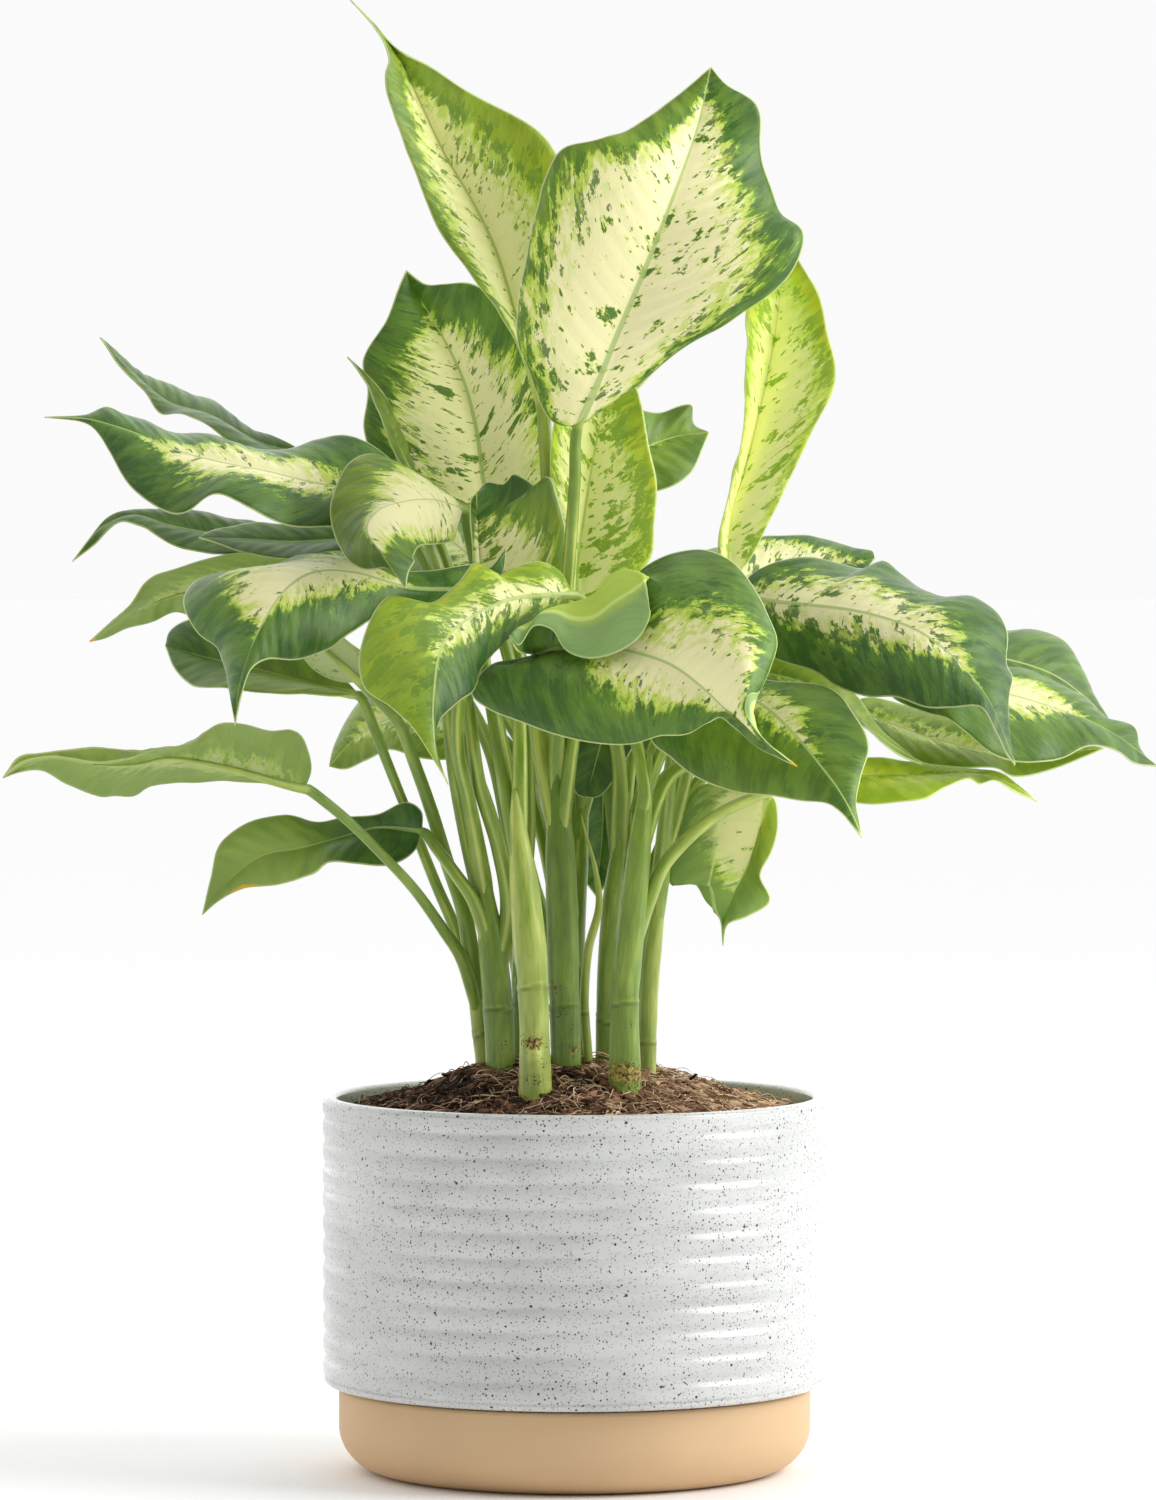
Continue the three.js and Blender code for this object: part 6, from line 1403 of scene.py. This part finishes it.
def tray_shell():
    """The tray: a turned dish with a rounded lower edge and a rounded rim."""
    outer, top = TRAY_HIGH[0] / MM, TRAY_HIGH[2] / MM
    inner, half = outer - TRAY_WALL, TRAY_WALL / 2
    rim = np.linspace(0, math.pi, 13)
    profile = np.vstack([
        [(1, 0)], corner(outer, 0, 16.5, 24), [(outer, TRAY_CORNER), (outer, top - RIM_RISE)],
        np.stack([outer - half + half * np.cos(rim), top - RIM_RISE + RIM_RISE * np.sin(rim)], -1)[1:],
        [(inner, TRAY_CORNER)], corner(inner, TRAY_WALL, 13.5, 14)[::-1], [(1, TRAY_WALL)]])
    points, quads, triangles = skin(turned(profile))
    return dict(points=points, quads=quads, triangles=triangles, marks={})


SOIL_EDGE_HEIGHT = 125.2  # where the soil meets the pot, mm
BED_TURNS = 360  # points round the bed of the soil
BED_RINGS = 120  # rings of its upper side


def soil_height(x, y):
    """The soil's height: that of its edge, plus a mound that falls as exp(-far^2.6) from the middle, plus
    shallow lumps, which are products of two sines, plus a small heap at the left of the mound."""
    far = np.hypot((x + 2) / 62, (y - 4) / 58)
    mound = 19.8 * np.exp(-far**2.6)
    lumps = 0.7 * np.sin(x * 0.21 + 1.3) * np.sin(y * 0.24 + 0.4)
    heap = 3.2 * np.exp(-((x + 37) / 10) ** 2 - ((y + 8) / 14) ** 2)
    return SOIL_EDGE_HEIGHT + mound + lumps + heap


def rightward_lift(x):
    """How much paler the soil is towards its right side: a lift of the tint that grows with x."""
    return np.interp(x, (-60, 0, 60), (-0.14, 0.02, 0.28))


def bed_shell(rng, edge):
    """The body of the soil: a turned form inside the pot's foot and wall, with a top that follows the
    soil's height, roughened by three sizes of random lumps that are lower at the edge."""
    hidden = np.array([(1.0, 9.0), (65.0, 9.0), (75.0, 18.0), (75.0, 33.0), (edge - 1, 42.0), (edge, 60.0)])
    r = np.r_[hidden[:, 0], np.linspace(edge, 0.6, BED_RINGS)][:, None]
    z = np.r_[hidden[:, 1], np.zeros(BED_RINGS)][:, None]
    angle = np.arange(BED_TURNS) / BED_TURNS * math.tau
    x, y = r * np.cos(angle), r * np.sin(angle)
    rough = sum(lattice(x, y, cell, rng) * rise for cell, rise in ((6.3, 0.75), (2.4, 0.7), (1.3, 0.45)))
    inward = np.clip((edge - r) / 5, 0, 1)
    surface = soil_height(x, y) + rough * (0.35 + 0.65 * inward) - 0.5 * (1 - inward)
    rings = np.stack([x, y, np.where(np.arange(len(r))[:, None] < len(hidden), z, surface)], -1)
    points, quads, triangles = skin(rings)
    tint = 0.26 + 0.22 * rough + rightward_lift(x)
    return dict(points=points, quads=quads, triangles=triangles, marks=dict(tint=ends_too(tint)))


def strewn(count, edge, spare, rng):
    """Places and directions of loose bits. Their distance from the middle is the disc's radius times an
    even random share to the power 0.62, so they lie closer together near the middle than at the edge."""
    r = (edge - spare) * rng.uniform(0, 1, count) ** 0.62
    a = rng.uniform(0, math.tau, count)
    return r * np.cos(a), r * np.sin(a), rng.uniform(0, math.tau, count)


def many(rings, tint):
    """One shell from many small ones of the same build: count by rows by points by 3, with a tint each."""
    count = len(rings)
    _, quads, triangles = skin(rings[0])
    ends = rings[:, :1].mean(2), rings[:, -1:].mean(2)
    points = np.concatenate([rings.reshape(count, -1, 3), *ends], axis=1)
    offset = (np.arange(count) * points.shape[1])[:, None, None]
    return dict(points=points.reshape(-1, 3), quads=(quads + offset).reshape(-1, 4),
                triangles=(triangles + offset).reshape(-1, 3),
                marks=dict(tint=np.repeat(tint, points.shape[1])))


FIBRE_TAPER = np.array([0.5, 0.9, 1, 1, 1, 0.8, 0.35])  # a fibre's radius at its rings, as shares


def fibre_shell(count, edge, rng):
    """Loose fibres: thin tubes of four sides, whose middle line turns evenly in plan but for a small wobble
    and arches over the soil. A quarter of them lift one end, by the square of the way to it."""
    x, y, turn = strewn(count, edge, 1.5, rng)
    length = np.clip(rng.lognormal(2.1, 0.5, count), 3, 24)
    u = np.linspace(-0.5, 0.5, len(FIBRE_TAPER))
    wobble = rng.normal(0, 0.8, count)[:, None] * u + rng.normal(0, 0.14, (count, len(u)))
    way = turn[:, None] + wobble
    step = length[:, None] / (len(u) - 1)
    px = x[:, None] + np.cumsum(np.cos(way), axis=1) * step
    py = y[:, None] + np.cumsum(np.sin(way), axis=1) * step
    inside = np.minimum(1, (edge - 0.8) / np.maximum(np.hypot(px, py), 1))
    px, py = px * inside, py * inside
    arch = rng.gamma(1.3, 0.5, count)[:, None] * (1 - (2 * u) ** 2)
    tip = (rng.uniform(-0.2, 0.25, count) * length)[:, None] * (u + 0.5) ** 2
    raised = (rng.uniform(0, 1, count) < 0.25)[:, None]
    pz = soil_height(px, py) + 0.3 + arch + np.abs(tip) * raised
    path = np.stack([px, py, pz], -1)
    along = unit(np.gradient(path, axis=1))
    side = unit(np.cross(along, (0, 0, 1.0)))
    up = np.cross(side, along)
    radius = (rng.gamma(3.5, 0.034, count) + 0.06)[:, None] * FIBRE_TAPER
    angle = -np.arange(4) / 4 * math.tau
    rings = (path[:, :, None] + (radius[..., None] * np.cos(angle))[..., None] * side[:, :, None]
             + (radius[..., None] * np.sin(angle))[..., None] * up[:, :, None])
    pale = rng.uniform(0, 1, count) < 0.3
    tint = np.where(pale, rng.uniform(0.75, 1.0, count), rng.normal(0.45, 0.16, count)) + rightward_lift(x)
    return many(rings, np.clip(tint, 0.08, 1.0))


def crumb_shell(count, edge, rng):
    """Bark crumbs: short tubes of three rings with five uneven sides, thick in the middle, flattened,
    tilted by a small angle and turned every way."""
    x, y, turn = strewn(count, edge, 2.5, rng)

    def each(values):
        """One value for each crumb, to go with its rings and sides."""
        return values[:, None, None]

    size = np.clip(rng.lognormal(-0.4, 0.5, count), 0.3, 2.2)
    angle = -np.arange(5) / 5 * math.tau
    r = np.array([0.55, 1, 0.6])[None, :, None] * rng.uniform(0.6, 1.25, (count, 3, 5)) * each(size)
    far = np.linspace(-1, 1, 3)[None, :, None] * each(size) * each(rng.uniform(0.8, 2.2, count))
    flat, tall = r * np.cos(angle), r * np.sin(angle) * each(rng.uniform(0.35, 0.8, count))
    tilt = each(rng.normal(0, 0.35, count))
    run = far * np.cos(tilt) - tall * np.sin(tilt)
    rise = far * np.sin(tilt) + tall * np.cos(tilt)
    c, s = each(np.cos(turn)), each(np.sin(turn))
    px, py = each(x) + run * c + flat * s, each(y) + run * s - flat * c
    rings = np.stack([px, py, each(soil_height(x, y) + 0.25 * size) + rise], -1)
    return many(rings, np.clip(rng.normal(0.36, 0.2, count) + rightward_lift(x), 0.02, 0.95))


# ---- Operators ----------------------------------------------------------------------------------


def settings_of(context):
    """The add-on's settings in a scene."""
    return context.scene.dieffenbachia


class AddPot(bpy.types.Operator):
    """Adds the ridged, speckled pot"""

    bl_idname = "dieffenbachia.add_pot"
    bl_label = "Add pot"

    def execute(self, context):
        pot = settings_of(context).pot
        shell = pot_shell(pot, np.random.default_rng(11))
        make_piece("fine_planter_pot", [shell], [pot_material(pot)], ["planter_pot"])
        return {"FINISHED"}


class AddTray(bpy.types.Operator):
    """Adds the drip tray that the pot stands in"""

    bl_idname = "dieffenbachia.add_tray"
    bl_label = "Add tray"

    def execute(self, context):
        material = tray_material(settings_of(context).pot)
        make_piece("fine_drip_tray", [tray_shell()], [material], ["drip_tray"])
        return {"FINISHED"}


class AddSoil(bpy.types.Operator):
    """Adds the soil, with loose fibres and crumbs of bark on it"""

    bl_idname = "dieffenbachia.add_soil"
    bl_label = "Add soil"

    def execute(self, context):
        soil = settings_of(context).soil
        material = soil_material(soil)
        rng = np.random.default_rng(23)
        edge = float(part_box("soil")[1][0]) / MM
        make_piece("fine_soil_bed", [bed_shell(rng, edge)], [material], ["soil"])
        fibres = fibre_shell(soil.fibres, edge, rng)
        make_piece("fine_soil_fibres", [fibres], [material], ["soil"])
        crumbs = crumb_shell(soil.crumbs, edge, rng)
        make_piece("fine_soil_crumbs", [crumbs], [material], ["soil"], smooth=False)
        return {"FINISHED"}


class AddCanes(bpy.types.Operator):
    """Adds the canes and the young shoot"""

    bl_idname = "dieffenbachia.add_canes"
    bl_label = "Add canes"

    def execute(self, context):
        material = stem_material(settings_of(context).plant)
        for name, spec in CANES.items():
            make_piece("fine_" + name, [cane_shell(spec)], [material], [name])
        return {"FINISHED"}


class AddLeaves(bpy.types.Operator):
    """Adds every leaf with its stalk"""

    bl_idname = "dieffenbachia.add_leaves"
    bl_label = "Add leaves"

    def execute(self, context):
        plant = settings_of(context).plant
        blade, stalk = leaf_material(plant), stem_material(plant)
        for number, (name, spec) in enumerate(LEAVES.items()):
            curves = blade_frame(spec)
            shells = [blade_shell(spec, curves, np.random.default_rng(100 + number), plant),
                      stalk_shell(spec, curves)]
            make_piece("fine_" + name, shells, [blade, stalk], [name])
        return {"FINISHED"}


FLOOR_HALF = 30.0  # half the side of the floor, m
LAMP_AIM = (0.0, 0.0, 0.25)  # the point that both lamps face, m
# name, the setting that holds its power, side in m, place in m
LAMPS = (("key_light", "key", 1.0, (1.42, -0.3, 0.95)), ("fill_light", "fill", 1.2, (-1.4, 0.5, 0.9)))


def aimed(thing, place, target):
    """Puts an object at a place in metres, facing a target along its own -Z."""
    way = mathutils.Vector(target) - mathutils.Vector(place)
    thing.location = place
    thing.rotation_euler = way.to_track_quat("-Z", "Y").to_euler()
    bpy.context.scene.collection.objects.link(thing)
    return thing


class AddStage(bpy.types.Operator):
    """Adds the floor, the soft lights, the sky and the camera"""

    bl_idname = "dieffenbachia.add_stage"
    bl_label = "Add stage"

    def execute(self, context):
        stage = settings_of(context).stage
        scene = context.scene
        mesh = bpy.data.meshes.new("floor")
        corners = [(x * FLOOR_HALF, y * FLOOR_HALF, 0) for x, y in ((-1, -1), (1, -1), (1, 1), (-1, 1))]
        mesh.from_pydata(corners, [], [(0, 1, 2, 3)])
        mesh.materials.append(new_material("pale_floor", linear(stage.floor), Roughness=0.9)[0])
        floor = bpy.data.objects.new("floor", mesh)
        scene.collection.objects.link(floor)
        for name, setting, size, place in LAMPS:
            lamp = bpy.data.lights.new(name, "AREA")
            lamp.energy, lamp.size = getattr(stage, setting), size
            aimed(bpy.data.objects.new(name, lamp), place, LAMP_AIM)
        world = bpy.data.worlds.new("soft_sky")
        scene.world = world
        world.use_nodes = True
        graph = Graph(world.node_tree)
        way = graph.node("ShaderNodeSeparateXYZ", {0: graph.node("ShaderNodeTexCoord").outputs["Generated"]})
        lit = graph.math("MULTIPLY_ADD", way.outputs[1], stage.sky * stage.slope, stage.sky)
        plain = graph.node("ShaderNodeLightPath").outputs["Is Camera Ray"]
        strength = graph.node("ShaderNodeMix", {0: plain, 2: lit, 3: stage.sky}, data_type="FLOAT")
        graph.set(world.node_tree.nodes["Background"].inputs["Strength"], strength.outputs[0])
        world.node_tree.nodes["Background"].inputs["Color"].default_value = (1, 1, 1, 1)
        lens = bpy.data.cameras.new("photo_camera")
        lens.lens, lens.clip_start, lens.clip_end = stage.lens, 0.05, 100
        scene.camera = aimed(bpy.data.objects.new("photo_camera", lens), EYE * MM, EYE_AIM * MM)
        scene.view_settings.view_transform = "Standard"
        return {"FINISHED"}


class DieffenbachiaSettings(bpy.types.PropertyGroup):
    """All the settings of the add-on."""

    pot: bpy.props.PointerProperty(type=PotSettings, name="Pot", description="Pot and tray")
    soil: bpy.props.PointerProperty(type=SoilSettings, name="Soil", description="Soil")
    plant: bpy.props.PointerProperty(type=PlantSettings, name="Plant", description="Canes, stalks and leaves")
    stage: bpy.props.PointerProperty(type=StageSettings, name="Stage", description="Floor, light and camera")


PARTS = (("pot", (AddPot, AddTray)), ("soil", (AddSoil,)), ("plant", (AddCanes, AddLeaves)),
         ("stage", (AddStage,)))


class DieffenbachiaPanel(bpy.types.Panel):
    """Lists the add-on's operators, each under its settings"""

    bl_idname = "VIEW3D_PT_dieffenbachia"
    bl_label = "Dieffenbachia"
    bl_space_type = "VIEW_3D"
    bl_region_type = "UI"
    bl_category = "Dieffenbachia"

    def draw(self, context):
        for name, operators in PARTS:
            box = self.layout.box()
            group = getattr(settings_of(context), name)
            for key in type(group).__annotations__:
                box.prop(group, key)
            for operator in operators:
                box.operator(operator.bl_idname)


OPERATORS = tuple(operator for _, operators in PARTS for operator in operators)
CLASSES = (PotSettings, SoilSettings, PlantSettings, StageSettings, DieffenbachiaSettings, *OPERATORS,
           DieffenbachiaPanel)


def register():
    """Registers the classes and puts the settings on the scene."""
    for cls in CLASSES:
        bpy.utils.register_class(cls)
    bpy.types.Scene.dieffenbachia = bpy.props.PointerProperty(type=DieffenbachiaSettings)


def unregister():
    """Takes back what register() did."""
    del bpy.types.Scene.dieffenbachia
    for cls in reversed(CLASSES):
        bpy.utils.unregister_class(cls)


def main():
    """Registers the add-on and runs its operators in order."""
    register()
    for operator in OPERATORS:
        name = operator.bl_idname.split(".")[1]
        if getattr(bpy.ops.dieffenbachia, name)() != {"FINISHED"}:
            raise RuntimeError(f"{operator.bl_label} didn't finish")


if __name__ == "__main__":
    main()
